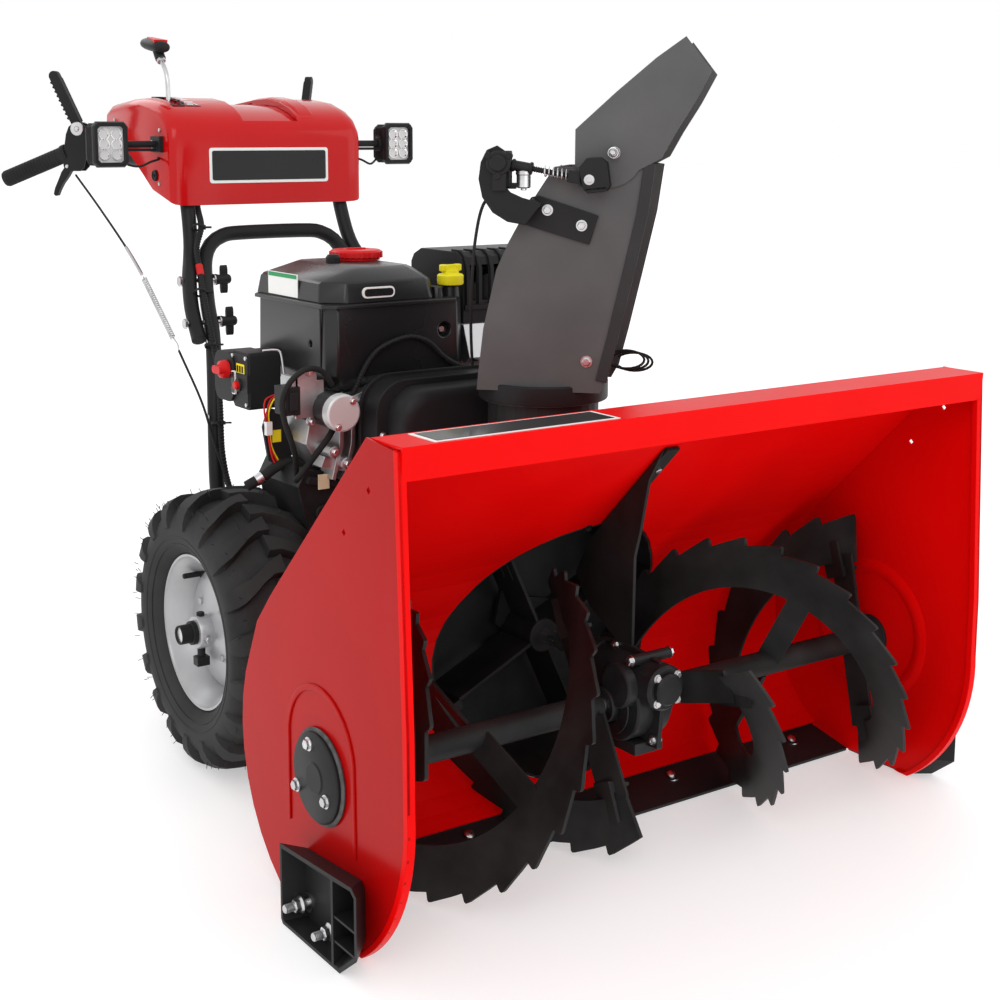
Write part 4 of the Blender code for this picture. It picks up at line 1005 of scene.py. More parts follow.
def hood_bracket():
    """U bracket on the hood that holds the clevis pin."""
    outline = [(60, 900), (66, 872), (72, 866), (96, 869), (101, 876), (97, 906), (88, 913), (70, 912)]
    outer = prism("Y", outline, -81.6, -78.6)
    far = prism("Y", outline, -103.0, -100.0)
    web = prism("Y", [(68, 869), (98, 872), (98, 876), (68, 873)], -103.0, -78.6)
    return in_chute(joined(outer, far, web))


def motor_can():
    """Small upright motor beside the gear case."""
    start = ACTUATOR_START
    body = rod((start.x + 30, start.y + 2, 0), "Z", 9.5, start.z - 33, start.z - 12, 32, 1.5)
    collar = rod((start.x + 30, start.y + 2, 0), "Z", 10.5, start.z - 16, start.z - 10, 32, 1.0)
    nose = rod((start.x + 30, start.y + 2, 0), "Z", 4.0, start.z - 36, start.z - 33, 20, 0.5)
    return in_chute(joined(body, collar, nose))


def threaded_stem():
    """Threaded rod and its fork."""
    ahead = (ACTUATOR_END - ACTUATOR_START).normalized()
    stem = pipe([ACTUATOR_START + ahead * 36, ACTUATOR_END - ahead * 11], 3.4, 14)
    thread = coil(ACTUATOR_START + ahead * 38, ACTUATOR_END - ahead * 14, 3.5, 0.7, 22)
    end = ACTUATOR_END
    cheeks = [rod((end.x, 0, end.z), "Y", 13.5, low, high, 32, 0.8) for low, high in
              ((end.y - 9.5, end.y - 6.0), (end.y + 3.0, end.y + 6.5))]
    bridge = block(end.x - 14, end.x - 9.5, end.y - 9.5, end.y + 6.5, end.z - 8, end.z + 8)
    nut = moved(rod((0, 0, 0), "Z", 6.5, -8, 0, 6, 0.8), toward(ahead, end - ahead * 14))
    return in_chute(joined(stem, thread, *cheeks, bridge, nut))


def build_actuator():
    ahead = (ACTUATOR_END - ACTUATOR_START).normalized()
    add("actuator_foot", actuator_foot(), "black_paint", "chute_turret", bevel=0.6,
        stands_for=("actuator_bracket",))
    add("actuator_hook", actuator_hook(), "black_paint", "chute_turret", bevel=0.8)
    add("actuator_case", motor_body(), "black_plastic", "actuator_body", bevel=1.2,
        stands_for=("actuator_motor",))
    add("actuator_can", motor_can(), "steel", "actuator_body")
    sleeve = pipe([ACTUATOR_START + ahead * 6, ACTUATOR_START + ahead * 42], 7.0, 24)
    ends = [moved(rod((0, 0, 0), "Z", 8.5, 0, 4, 24, 0.8), toward(ahead, ACTUATOR_START + ahead * d))
            for d in (15, 39)]
    add("actuator_sleeve", in_chute(joined(sleeve, *ends)), "black_plastic", "actuator_body")
    add("actuator_stem", threaded_stem(), "auger_black", "actuator_stem", stands_for=("actuator_rod",))
    add("clevis_block", clevis_block(), "black_plastic", "actuator_stem", bevel=1.2)
    add("gear_housing", gear_housing(), "black_plastic", "actuator_body", bevel=0.8)
    add("hood_bracket", hood_bracket(), "black_paint", "deflector", bevel=0.8)
    spring = coil(ACTUATOR_START + ahead * 58, ACTUATOR_END - ahead * 22, 6.6, 1.0, 7)
    add("actuator_spring", in_chute(spring), "steel", "actuator_stem")
    end = ACTUATOR_END
    pin = rod((end.x, 0, end.z), "Y", 4.3, -104.0, -79.0, 20, 0.8)
    clip = rod((end.x, 0, end.z), "Y", 7.0, -103.5, -101.5, 24, 0.4)
    add("deflector_pin", in_chute(joined(pin, clip)), "steel", "deflector")
    near = chute_way((0, -1, 0))
    for along, up in ((16, 843), (62, 823)):
        hex_bolt(chute_spot((along, -79.4, up)), near, 7.5, "steel", "chute_turret")
    loops = []
    for k in range(3):
        angles = [math.radians(degrees) for degrees in range(-150, 151, 15)]
        ring = [(112 + 26 * math.cos(a) + 5 * k, 40 + 10 * k, 628 + 13 * math.sin(a) - 3 * k) for a in angles]
        loops.append(pipe(ring, 1.8, 8))
    add("motor_cable_loops", in_chute(joined(*loops)), "rubber", "chute_turret")
    lead = [(-45, -96, 875), (-68, -96, 850), (-80, -92, 800), (-86, -84, 740), (-92, -60, 680),
            (-96, -30, 625)]
    add("actuator_lead", in_chute(pipe(smooth_route(lead, 8), 2.2, 10)), "rubber", "chute_turret")


# ---------------------------------------------------------------- dash and controls

SHIFT_X, SHIFT_Y = -150.0, 1348.0
KNOB_SPACE = Matrix.Translation((SHIFT_X, SHIFT_Y + 50, 1096)) @ Matrix.Rotation(math.radians(8), 4, "X")
DASH_TOP = [(1254, 952), (1268, 970), (1295, 985), (1335, 997), (1385, 1003), (1440, 1002), (1530, 994),
            (1552, 984)]


def dash_height(y):
    """Height of the dash's top at a distance from the front."""
    for (y0, z0), (y1, z1) in zip(DASH_TOP, DASH_TOP[1:]):
        if y0 <= y <= y1:
            return z0 + (z1 - z0) * (y - y0) / (y1 - y0)
    return DASH_TOP[-1][1]


def on_dash(outline, thickness, lift=0.3):
    """A thin plate that follows the top, from an outline of X and Y."""
    return skinned([[(x, y, dash_height(y) + level) for x, y in outline] for level in (lift,
                                                                                       lift + thickness)])


def gate_outline(grow=0.0):
    """Shift slot with its side notches."""
    points = [(-157 - grow, 1304 - grow), (-143 + grow, 1304 - grow)]
    for y in (1318, 1336, 1354, 1372):
        points += [(-143 + grow, y - grow * 0.4), (-137 + grow, y - grow * 0.4), (-137 + grow, y + 8),
                   (-143 + grow, y + 8)]
    return points + [(-143 + grow, 1392 + grow), (-157 - grow, 1392 + grow)]


def gate_frame():
    """Raised lip round the shift slot."""
    inner = gate_outline()
    outer = gate_outline(4.0)
    levels = ((inner, -3.0), (inner, 2.0), (outer, 2.0), (outer, -0.5))
    return skinned([[(x, y, dash_height(y) + lift) for x, y in line] for line, lift in levels], ends=False)


def badge():
    """Blank plate on the dash's front face, with its pale border."""
    outer = prism("Y", rounded(-118, 118, 853, 915, 5), 1248.6, 1250.2)
    inner = prism("Y", rounded(-113, 113, 858, 910, 4), 1247.9, 1249.2)
    return outer, inner


def rounded(x0, x1, z0, z1, radius, steps=5):
    """A rectangle's outline with round corners."""
    corners = [(x1 - radius, z1 - radius, 0), (x0 + radius, z1 - radius, 90),
               (x0 + radius, z0 + radius, 180), (x1 - radius, z0 + radius, 270)]
    points = []
    for x, z, start in corners:
        points += arc((x, z), radius, start, start + 90, steps)
    return points


def rolled_section(shrink, slump):
    """Side view of the hood, drawn in by a share and lowered along its top."""
    outline = [(1250, 815), (1330, 835), (1380, 866), (1460, 913), (1555, 968), (1552, 984), (1530, 994),
               (1440, 1002), (1385, 1003), (1335, 997), (1295, 985), (1268, 970), (1254, 952), (1250, 930)]
    middle = (1400.0, 920.0)
    section = []
    for y, z in outline:
        y, z = y + (middle[0] - y) * shrink, z + (middle[1] - z) * shrink
        section.append((y, z - slump if z > 935 else z))
    return section


def dash_loops(wall):
    """Loops of the hood from its left end to its right, with rolled ends."""
    ends = [(190.0, 0.075, 10.0), (188.5, 0.05, 7.5), (183.0, 0.022, 4.0), (174.0, 0.006, 1.2),
            (160.0, 0.0, 0.0)]
    loops = [(-x + wall, shrink, slump) for x, shrink, slump in ends]
    loops += [(x - wall, shrink, slump) for x, shrink, slump in reversed(ends)]
    return loops


def dash_body(wall=0.0):
    """Closed hood. With a wall it is the room inside, open at the bottom."""
    loops = []
    for x, shrink, slump in dash_loops(wall):
        section = rolled_section(shrink, slump)
        if wall > 0:
            section = [(y + (1400 - y) * 0.03, z + (905 - z) * 0.045) for y, z in section]
            section = [(y, z - 60 if z < 905 and y < 1500 else z) for y, z in section]
        loops.append([(x, y, z) for y, z in section])
    return skinned(loops)


POCKET_FLOOR = [(1262, 958), (1275, 965), (1300, 976), (1340, 987), (1390, 992), (1450, 991), (1545, 978)]


def dash_shell():
    """Moulded hood: rolled ends, open below, with a shallow pocket beside a ridge."""
    slot = block(-157, -143, 1304, 1392, 970, 1020)
    pocket = prism("X", POCKET_FLOOR + [(1545, 1030), (1262, 1030)], -46, 64)
    return cut(dash_body(), dash_body(4.0), slot, pocket)


def dash_tray():
    """Floor of the pocket and its side walls."""
    under = [(y, z - 4.0) for y, z in reversed(POCKET_FLOOR)]
    floor = prism("X", [(y, z + 0.2) for y, z in POCKET_FLOOR] + under, -50, 68)
    rise = [(y, z + 9.5) for y, z in reversed(POCKET_FLOOR[1:-1])]
    walls = [prism("X", POCKET_FLOOR[1:-1] + rise, low, high) for low, high in ((-50, -46.2), (64.2, 68))]
    return joined(floor, *walls)


def dash_ridge():
    """Raised tongue between the pocket and the right end."""
    line = [(1258, 950), (1266, 968), (1294, 988), (1335, 1001), (1385, 1007), (1440, 1005), (1520, 996)]
    inner = [(y + 2, z - 18) for y, z in reversed(line)]
    return prism("X", line + inner, 70, 104)


def build_dash():
    add("dash_panel", dash_shell(), "dash_red", bevel=2.0, smooth=42, stands_for=("dash_panel",))
    add("dash_tray", dash_tray(), "dash_red", bevel=1.5)
    add("dash_ridge", dash_ridge(), "dash_red", bevel=5.0, segments=4)
    outer, inner = badge()
    add("badge_border", outer, "white_print", bevel=0.3)
    add("badge_plate", inner, "black_print", bevel=0.3)
    add("gate_frame", gate_frame(), "black_plastic", bevel=0.5)
    add("gate_scale", on_dash([(-136, 1302), (-108, 1302), (-108, 1394), (-136, 1394)], 1.2), "black_print")
    bars = [(-131, -119 + (k % 2) * 5, 1308 + k * 12.5, 1312 + k * 12.5) for k in range(7)]
    bars.append((-115, -112, 1306, 1390))
    marks = [on_dash([(x0, y0), (x1, y0), (x1, y1), (x0, y1)], 0.5, 1.4) for x0, x1, y0, y1 in bars]
    add("gate_marks", joined(*marks), "white_print")
    socket = turned([(3, -190.2), (9, -190.2), (10, -191.4), (10, -193.4), (8.5, -194.4), (7.5, -193),
                     (3, -193)],
                    (0, 1318, 866), "X", 32)
    add("dash_socket", socket, "black_plastic")
    for sign in (-1, 1):
        for y, z in ((1300, 852), (1292, 945), (1500, 963)):
            hex_bolt((sign * 190.0, y, z), (sign, 0, 0), 5, "steel", washer=False)
    stem = [(SHIFT_X, SHIFT_Y, 940), (SHIFT_X, SHIFT_Y - 2, 1000), (SHIFT_X, SHIFT_Y + 2, 1042),
            (SHIFT_X, SHIFT_Y + 30, 1076)]
    hub = rod((0, SHIFT_Y, 940), "X", 10, SHIFT_X - 12, SHIFT_X + 12, 28, 1.0)
    add("shift_rod", joined(pipe(smooth_route(stem, 8), 4.0, 20), hub), "steel", "gear_lever",
        stands_for=("shift_lever",))
    neck = pipe([(SHIFT_X, SHIFT_Y + 25, 1070), (SHIFT_X, SHIFT_Y + 31, 1077), (SHIFT_X, SHIFT_Y + 40, 1090)],
                9.5, 28)
    add("shift_collar", moved(rod((0, 0, 0), "Z", 8.0, 0, 7, 28, 0.8),
                              toward((0, 0.63, 0.77), (SHIFT_X, SHIFT_Y + 22, 1066))), "brushed",
                              "gear_lever")
    add("shift_knob", joined(neck, knob_head()), "black_plastic", "gear_lever", bevel=2.0, smooth=50)
    add("shift_knob_insert", knob_insert(), "red_plastic", "gear_lever", bevel=0.6)


def knob_head():
    """T-shaped handle head, flattened, lying along the machine."""
    profile = [(0, -35), (7, -34.5), (11, -31), (12.6, -22), (13.2, -8), (13.2, 8), (12.6, 22), (11, 31),
               (7, 34.5), (0, 35)]
    head = turned(profile, (0, 0, 0), "Y", 36)
    return moved(head, KNOB_SPACE @ Matrix.Diagonal((1.3, 1.12, 0.86, 1)))


def knob_insert():
    """Red insert on the shift knob."""
    outline = [(-13, -26), (13, -26), (5, 26), (-5, 26)]
    plate = prism("Z", outline, 6.0, 12.4)
    return moved(plate, KNOB_SPACE)


# ---------------------------------------------------------------- lamps

LAMP = Vector((-287.0, 1299.0, 921.0))


def lamp_body():
    """Finned housing with a chamfered front frame."""
    at = LAMP
    back = [(at.x - 22, at.z - 30), (at.x + 22, at.z - 30), (at.x + 26, at.z - 24), (at.x + 26, at.z + 24),
            (at.x + 22, at.z + 30), (at.x - 22, at.z + 30), (at.x - 26, at.z + 24), (at.x - 26, at.z - 24)]
    shapes = [prism("Y", back, at.y - 14.5, at.y + 26)]
    for k in range(8):
        y = at.y - 10 + k * 5
        shrink = 1.0 - max(0, k - 4) * 0.04
        fin = [(at.x + (x - at.x) * 1.17 * shrink, at.z + (z - at.z) * 1.2 * shrink) for x, z in back]
        shapes.append(prism("Y", fin, y, y + 2))
    frame_outer = [(-24, -39), (24, -39), (31, -31), (31, 31), (24, 39), (-24, 39), (-31, 31), (-31, -31)]
    frame_inner = [(-19, -31), (19, -31), (24, -26), (24, 26), (19, 31), (-19, 31), (-24, 26), (-24, -26)]
    rows = []
    for line, forward, grow in ((frame_outer, 14, 1.0), (frame_outer, 22, 1.0), (frame_outer, 26.5, 0.95),
                                (frame_inner, 26.5, 1.0), (frame_inner, 14, 1.0)):
        rows.append([(at.x + x * grow, at.y - forward, at.z + z * grow) for x, z in line])
    shapes.append(skinned(rows, ends=False))
    for x, z in ((-23, -33), (23, -33), (-23, 33), (23, 33)):
        shapes.append(rod((at.x + x, 0, at.z + z), "Y", 3.4, at.y - 27.4, at.y - 24, 6))
    return joined(*shapes)


def lamp_places():
    """Centres of the six cups, two across and three up."""
    return [(LAMP.x + i * 11.0, 0, LAMP.z + k * 17.5) for i in (-1, 1) for k in (-1, 0, 1)]


def lamp_cups():
    """Bright reflector cups."""
    y = LAMP.y - 22
    profile = [(8.6, y), (9.6, y), (9.6, y + 8), (0, y + 8), (0, y + 7), (3.5, y + 6.5), (6.8, y + 3.5)]
    return joined(*[turned(profile, centre, "Y", 28) for centre in lamp_places()])


def lamp_dots():
    """The diode in the middle of each cup."""
    return joined(*[rod(centre, "Y", 2.6, LAMP.y - 18, LAMP.y - 14.6, 16, 1.0) for centre in lamp_places()])


def lamp_mask():
    """Pale plate round the cups."""
    return block(LAMP.x - 23.5, LAMP.x + 23.5, LAMP.y - 19.0, LAMP.y - 15, LAMP.z - 30.5, LAMP.z + 30.5)


def lamp_bracket():
    """Ears and pin from the lamp to the dash's side."""
    at = LAMP
    pin = rod((0, at.y, at.z), "X", 6.0, at.x + 26, -190.4, 24, 0.8)
    ear = prism("X", [(at.y - 11, at.z - 14), (at.y + 11, at.z - 14), (at.y + 14, at.z),
                      (at.y + 9, at.z + 14), (at.y - 9, at.z + 14), (at.y - 14, at.z)], at.x + 30, at.x + 34)
    boss = rod((0, at.y, at.z), "X", 12.0, at.x + 27, at.x + 36, 28, 1.2)
    foot = prism("X", [(at.y - 20, at.z - 14), (at.y + 20, at.z - 14), (at.y + 20, at.z + 14),
                       (at.y - 20, at.z + 14)],
                 -198, -190.6)
    arm = block(at.x + 34, -192, at.y - 3, at.y + 3, at.z - 12, at.z - 7)
    return joined(pin, ear, boss, foot, arm)


def lamp_lead():
    """Cable from the lamp to the hood."""
    at = LAMP
    route = [(at.x + 24, at.y + 12, at.z - 22), (at.x + 38, at.y + 6, at.z - 34),
             (at.x + 56, at.y - 8, at.z - 38),
             (at.x + 76, at.y - 12, at.z - 30), (at.x + 92, at.y - 8, at.z - 26), (-191, at.y + 4, at.z - 24)]
    return pipe(smooth_route(route, 6), 2.0, 10)


def build_lamps():
    bodies = ("light_left", "light_right")
    both("lamp_housing", lamp_body, "black_paint", bodies, stands_for=("work_light",), bevel=0.4)
    both("lamp_mask", lamp_mask, "satin_aluminium", bodies)
    both("lamp_cups", lamp_cups, "mirror_cup", bodies)
    both("lamp_dots", lamp_dots, "yellow_print", bodies)
    both("lamp_bracket", lamp_bracket, "black_paint", bodies, bevel=0.8)
    both("lamp_lead", lamp_lead, "rubber")
    for sign, body in ((-1, "light_left"), (1, "light_right")):
        hex_bolt((sign * 198, LAMP.y + 12, LAMP.z), (sign, 0, 0), 7, "steel", body)


# ---------------------------------------------------------------- handles

LEG_ROUTE = [
    (-216, 1018, 215), (-216, 1030, 300), (-215, 1042, 365), (-209, 1056, 430), (-200, 1074, 500),
    (-188, 1100, 562), (-178, 1125, 606), (-168, 1162, 647), (-153, 1203, 690), (-139, 1232, 722)]
BEND_ROUTE = [(-124, 1242, 746), (-98, 1246, 761), (-60, 1247, 765)]
UPPER_ROUTE = [
    (-208, 1113, 596), (-199, 1160, 645), (-183, 1203, 690), (-167, 1233, 722), (-158, 1250, 755),
    (-153, 1269, 810), (-153, 1287, 862), (-159, 1335, 892), (-170, 1432, 892), (-187, 1492, 897),
    (-221, 1549, 904)]
LOOM_ROUTE = [
    (-133, 1284, 856), (-134, 1268, 808), (-145, 1232, 778), (-160, 1220, 742), (-166, 1194, 700),
    (-182, 1142, 652), (-190, 1103, 604), (-193, 1077, 556), (-202, 1050, 490), (-208, 1034, 420),
    (-205, 1020, 366), (-194, 1012, 336)]
LEFT_CABLE_ROUTE = [
    (-252, 1548, 862), (-246, 1440, 800), (-238, 1320, 722), (-231, 1226, 642), (-226, 1143, 562),
    (-223, 1075, 495), (-222, 1030, 430), (-210, 985, 336)]
RIGHT_CABLE_ROUTE = [
    (250, 1548, 862), (222, 1470, 862), (184, 1380, 856), (172, 1320, 848), (162, 1288, 808),
    (170, 1268, 750), (178, 1256, 716), (192, 1226, 684), (205, 1184, 643), (208, 1140, 598),
    (206, 1108, 500), (203, 1078, 400), (194, 1040, 336)]
LEVER_PIVOT = (-15.0, 40.0)
TRIGGER_PIVOT = (8.0, -29.0)
GRIP_ACROSS = UP.cross(GRIP_OUTWARD)
GRIP_AHEAD = GRIP_OUTWARD * math.cos(GRIP_DROP) - UP * math.sin(GRIP_DROP)


def on_grip(bm):
    """A body drawn along the grip, put in place."""
    turn = Matrix((GRIP_OUTWARD, GRIP_ACROSS, UP)).transposed().to_4x4()
    return moved(bm, Matrix.Translation(GRIP_ROOT) @ turn)


def grip_spot(out, up, across=0.0):
    """A point drawn along the grip, put in place."""
    return GRIP_ROOT + GRIP_OUTWARD * out + GRIP_ACROSS * across + UP * up


def lower_tube():
    """Both lower legs and the bend that joins them."""
    left = LEG_ROUTE + BEND_ROUTE
    right = [(-x, y, z) for x, y, z in reversed(left)]
    return pipe(smooth_route(left + right, 14.0), 13.0, 28)


def upper_tube():
    """Upper tube of the left handle."""
    route = smooth_route(UPPER_ROUTE + [tuple(GRIP_ROOT)], 12.0)
    route += [GRIP_ROOT + GRIP_AHEAD * distance for distance in (14.0, 60.0, 142.0)]
    return pipe(route, 12.7, 28)


def lever_bracket():
    """Folded bracket at the grip's root that holds the lever and the trigger."""
    outline = [(-30, -14), (-26, -30), (-18, -38), (10, -38), (15, -30), (16, -14), (8, 30), (2, 44),
               (-6, 50),
               (-24, 50), (-32, 44), (-34, 30)]
    plates = [prism("Y", outline, low, high) for low, high in ((-13, -9.5), (9.5, 13))]
    back = block(-34, -29, -13, 13, -12, 34)
    return on_grip(joined(*plates, back))


def rubber_grip():
    """Sleeve with ring grooves and a rounded end."""
    profile = [(13.2, 12), (17.0, 12), (17.6, 14), (17.6, 20), (16.4, 22)]
    along = 26.0
    while along < 138.0:
        profile += [(15.5, along), (15.5, along + 4.6), (14.9, along + 5.2), (14.9, along + 5.9)]
        along += 6.5
    profile += [(15.5, 140), (15.5, 146), (13.5, 150), (9.0, 152), (0, 152), (0, 143), (13.2, 143)]
    sleeve = turned(profile, (0, 0, 0), "Z", 36)
    return moved(sleeve, toward(GRIP_AHEAD, GRIP_ROOT))


def lever_shape(shape, pivot, degrees, low, high):
    """A plate from points along and across a lever, turned about its pivot at the grip."""
    angle = math.radians(degrees)
    ahead = Vector((math.cos(angle), math.sin(angle)))
    side = Vector((-ahead.y, ahead.x))
    outline = [tuple(Vector(pivot) + ahead * along + side * across) for along, across in shape]
    return on_grip(prism("Y", outline, low, high))


def clutch_lever():
    """Lever with a rounded tip and finger ribs on its outer edge."""
    tip = arc((107.5, -0.5), 9.5, -80, 80, 8)
    edge = [(-6, 6), (-8, 0), (-6, -8), (20, -9.5), (60, -10), (100, -10)]
    place = (LEVER_PIVOT, 65.0)
    shapes = [lever_shape(edge + tip + [(98, 9), (60, 9), (20, 9)], *place, -6.6, 6.6)]
    for k in range(9):
        start = 22 + k * 9.0
        rib = [(start, -8.5), (start + 3, -12.6), (start + 6, -12.6), (start + 7, -8.5)]
        shapes.append(lever_shape(rib, *place, -6.0, 6.0))
    for low, high in ((-8.0, -6.0), (6.0, 8.0)):
        rim_line = [(12, 4.5), (100, 5.0), (104, 8), (98, 9.4), (12, 9.4)]
        shapes.append(lever_shape(rim_line, *place, low, high))
    return joined(*shapes)


def lever_hub():
    """Rings round the lever's pin, and the two pins."""
    ring = [moved(turned([(5, -1), (12, -1), (13, 0.5), (12, 2), (5, 2)], steps=32),
                  toward(GRIP_ACROSS * sign, grip_spot(*LEVER_PIVOT, sign * 13.2))) for sign in (-1, 1)]
    pins = [moved(rod((0, 0, 0), "Z", 4.5, -16.5, 16.5, 20, 1.0),
                  toward(GRIP_ACROSS, grip_spot(*LEVER_PIVOT))),
            moved(rod((0, 0, 0), "Z", 3.5, -15.5, 15.5, 18, 1.0),
                  toward(GRIP_ACROSS, grip_spot(*TRIGGER_PIVOT)))]
    return joined(*ring, *pins)


def steering_trigger():
    """Trigger under the grip."""
    shape = [(-7, 5), (-8, -3), (-5, -8), (18, -8), (36, -6), (50, -6.5), (60, -8), (63, -5), (62, 0),
             (50, 3.5),
             (34, 5), (18, 7)]
    return lever_shape(shape, TRIGGER_PIVOT, -58.0, -7.0, 7.0)


def wing_outline():
    """Lobes of a clamping knob's wing."""
    outline = []
    for k in range(48):
        angle = 2.0 * math.pi * k / 48
        reach = 10.0 + 15.0 * max(0.0, math.cos(2.0 * angle)) ** 1.6
        outline.append((reach * math.sin(angle) * 0.55, reach * math.cos(angle)))
    return outline


def leg_x(height):
    """X of the left lower leg at a height."""
    for low, high in zip(LEG_ROUTE, LEG_ROUTE[1:]):
        if low[2] <= height <= high[2]:
            return low[0] + (height - low[2]) / (high[2] - low[2]) * (high[0] - low[0])
    return LEG_ROUTE[-1][0]


def wing_knob(y, z):
    """Clamping knob of the handle joint."""
    start = leg_x(z) + 17.0
    hub = turned([(0, start), (9.5, start), (10, start + 2), (8, start + 10), (8.5, start + 27),
                  (6, start + 30),
                  (0, start + 30)], (0, y, z), "X", 32)
    wings = prism("X", [(y + a, z + b) for a, b in wing_outline()], start + 11, start + 24)
    return joined(hub, wings)


def clamp_bolt(y, z):
    """Bolt through both tubes, with its head outside and its thread at the knob."""
    inner = leg_x(z) + 18.0
    head = rod((0, y, z), "X", 9.0, inner - 68, inner - 63, 6)
    shank = rod((0, y, z), "X", 4.0, inner - 64, inner + 2, 18, 0.6)
    washer = rod((0, y, z), "X", 10.0, inner - 3.4, inner - 1, 28, 0.4)
    return joined(head, shank, washer)


def tie(centre, ahead, radius):
    """Cable tie round a tube, with its small lock block."""
    band = turned([(radius, -2.2), (radius + 1.3, -2.2), (radius + 1.3, 2.2), (radius, 2.2)], steps=32)
    lock = block(radius, radius + 5, -3.2, 3.2, -3, 3)
    tail = block(radius + 3, radius + 15, -1.2, 1.0, -1.5, 1.5)
    return moved(joined(band, lock, tail), toward(ahead, centre))


def build_handles():
    add("lower_handle", lower_tube(), "black_paint", stands_for=("lower_handle",))
    both("upper_handle", upper_tube, "black_paint", stands_for=("upper_handle",))
    both("lever_bracket", lever_bracket, "black_paint", bevel=0.7)
    both("grip", rubber_grip, "rubber", stands_for=("grip",))
    both("clutch_lever", clutch_lever, "black_plastic", ("lever_left", "lever_right"),
         stands_for=("clutch_lever",), bevel=0.9)
    both("lever_hub", lever_hub, "steel")
    both("steering_trigger", steering_trigger, "black_plastic", ("trigger_left", "trigger_right"),
         stands_for=("steering_trigger",), bevel=1.6)
    for level, (y, z) in (("upper", (1201.0, 688.0)), ("lower", (1138.0, 622.0))):
        bodies = (f"knob_{level}_left", f"knob_{level}_right")
        both(f"{level}_knob", lambda y=y, z=z: wing_knob(y, z), "black_plastic", bodies,
             stands_for=(f"{level}_knob",), bevel=1.2)
        both(f"{level}_clamp_bolt", lambda y=y, z=z: clamp_bolt(y, z), "steel")
    build_cables()


def build_cables():
    """Loom on the left leg, and the clutch cables with the left one's sleeve and spring."""
    rings = smooth_route(LOOM_ROUTE, 2.6)
    add("wiring_loom", pipe(rings, 4.6, 16, 1.1), "black_plastic", stands_for=("wiring_loom",), smooth=20)
    left = smooth_route(LEFT_CABLE_ROUTE, 10.0)
    right = smooth_route(RIGHT_CABLE_ROUTE, 10.0)
    total = len(left) - 1
    spring_from, spring_to = left[round(total * 0.40)], left[round(total * 0.58)]
    sleeve = left[round(total * 0.30):round(total * 0.40)]
    upper = left[:round(total * 0.30) + 1]
    lower = left[round(total * 0.62):]
    add("clutch_cable_left", joined(pipe(upper, 2.0, 12), pipe(lower, 2.0, 12)), "rubber",
        stands_for=("clutch_cable_left",))
    add("cable_sleeve_left", pipe(sleeve, 3.2, 16), "brushed")
    ahead = (spring_to - spring_from).normalized()
    hook_end = left[round(total * 0.62)]
    eyes = [pipe([spring_from - ahead * 4, spring_from + ahead * 2], 1.2, 8),
            pipe([spring_to - ahead * 2, spring_to.lerp(hook_end, 0.5) + Vector((3, 0, 0)), hook_end], 1.2,
                 8)]
    add("cable_spring_left", joined(coil(spring_from, spring_to, 4.4, 1.15, 30), *eyes), "steel")
    add("clutch_cable_right", pipe(right, 2.0, 12), "rubber", stands_for=("clutch_cable_right",))
    ties = []
    for share in (0.16, 0.38, 0.56, 0.78):
        k = round((len(rings) - 1) * share)
        ties.append(tie(rings[k] + Vector((-6, 0, 0)), rings[k + 1] - rings[k - 1], 8.5))
    add("cable_ties", joined(*ties), "black_plastic")
    k = round((len(rings) - 1) * 0.30)
    add("loom_tape", pipe(rings[k - 4:k + 5:2], 6.4, 20), "wire_red")
    for sign in (-1, 1):
        for z, y in ((590, 1113), (470, 1066)):
            hex_bolt((sign * (leg_x(z) - 13), y, z), (sign, -0.3, 0), 6.5)


# ---------------------------------------------------------------- engine

CAP_X, CAP_Y = -95.0, 775.0
NECK_X, OIL_Y = -8.0, 642.0
STARTER_X, STARTER_Z = -240.0, 556.0


def shroud():
    """Moulded housing with a tapered skirt and the oil neck's tower."""
    body = lofted([
        (574, chamfered(-214, -6, 632, 850, 16, 22)), (584, chamfered(-222, 2, 624, 854, 14, 20)),
        (598, chamfered(-230, 8, 618, 858, 14, 18)), (697, chamfered(-228, 7, 619, 857, 14, 18)),
        (700, chamfered(-226, 5, 621, 856, 14, 18))])
    tower = turned([(0, 690), (15, 690), (14, 702), (13, 717), (0, 717)], (NECK_X, OIL_Y, 0), "Z", 36)
    well = rod((-34, 0, 654), "Y", 11.0, 610, 632, 32)
    small = rod((0, 676, 640), "X", 5.0, -240, -222, 24)
    return joined(cut(body, well, small), tower)


def shroud_trim():
    """Ledge under the lid, and the upright rib on the left."""
    ledge = lofted([
        (695, chamfered(-235, 2, 614, 861, 16, 18)), (700, chamfered(-235, 2, 614, 861, 16, 18)),
        (701.5, chamfered(-232, 0, 616, 859, 16, 18))])
    rib = block(-231.5, -229, 642, 647, 600, 695)
    return joined(ledge, rib)


def lid():
    """Tank cover with a long slope on its left and chamfers round the rest."""
    return lofted([
        (700.4, chamfered(-230, -44, 618, 858, 28, 12)), (706, chamfered(-229, -45, 619, 857, 28, 12)),
        (729, chamfered(-226, -48, 622, 854, 28, 14)), (733, chamfered(-222, -51, 625, 851, 26, 15)),
        (747, chamfered(-180, -66, 646, 838, 12, 16)), (750, chamfered(-172, -72, 652, 832, 10, 14))])


def lid_step():
    """Narrow upper ledge that runs round the right end of the lid."""
    return lofted([
        (700.4, chamfered(-46, -30, 622, 700, 4, 5)), (716, chamfered(-46, -31, 624, 698, 4, 5)),
        (718, chamfered(-46, -33, 626, 696, 4, 5))])


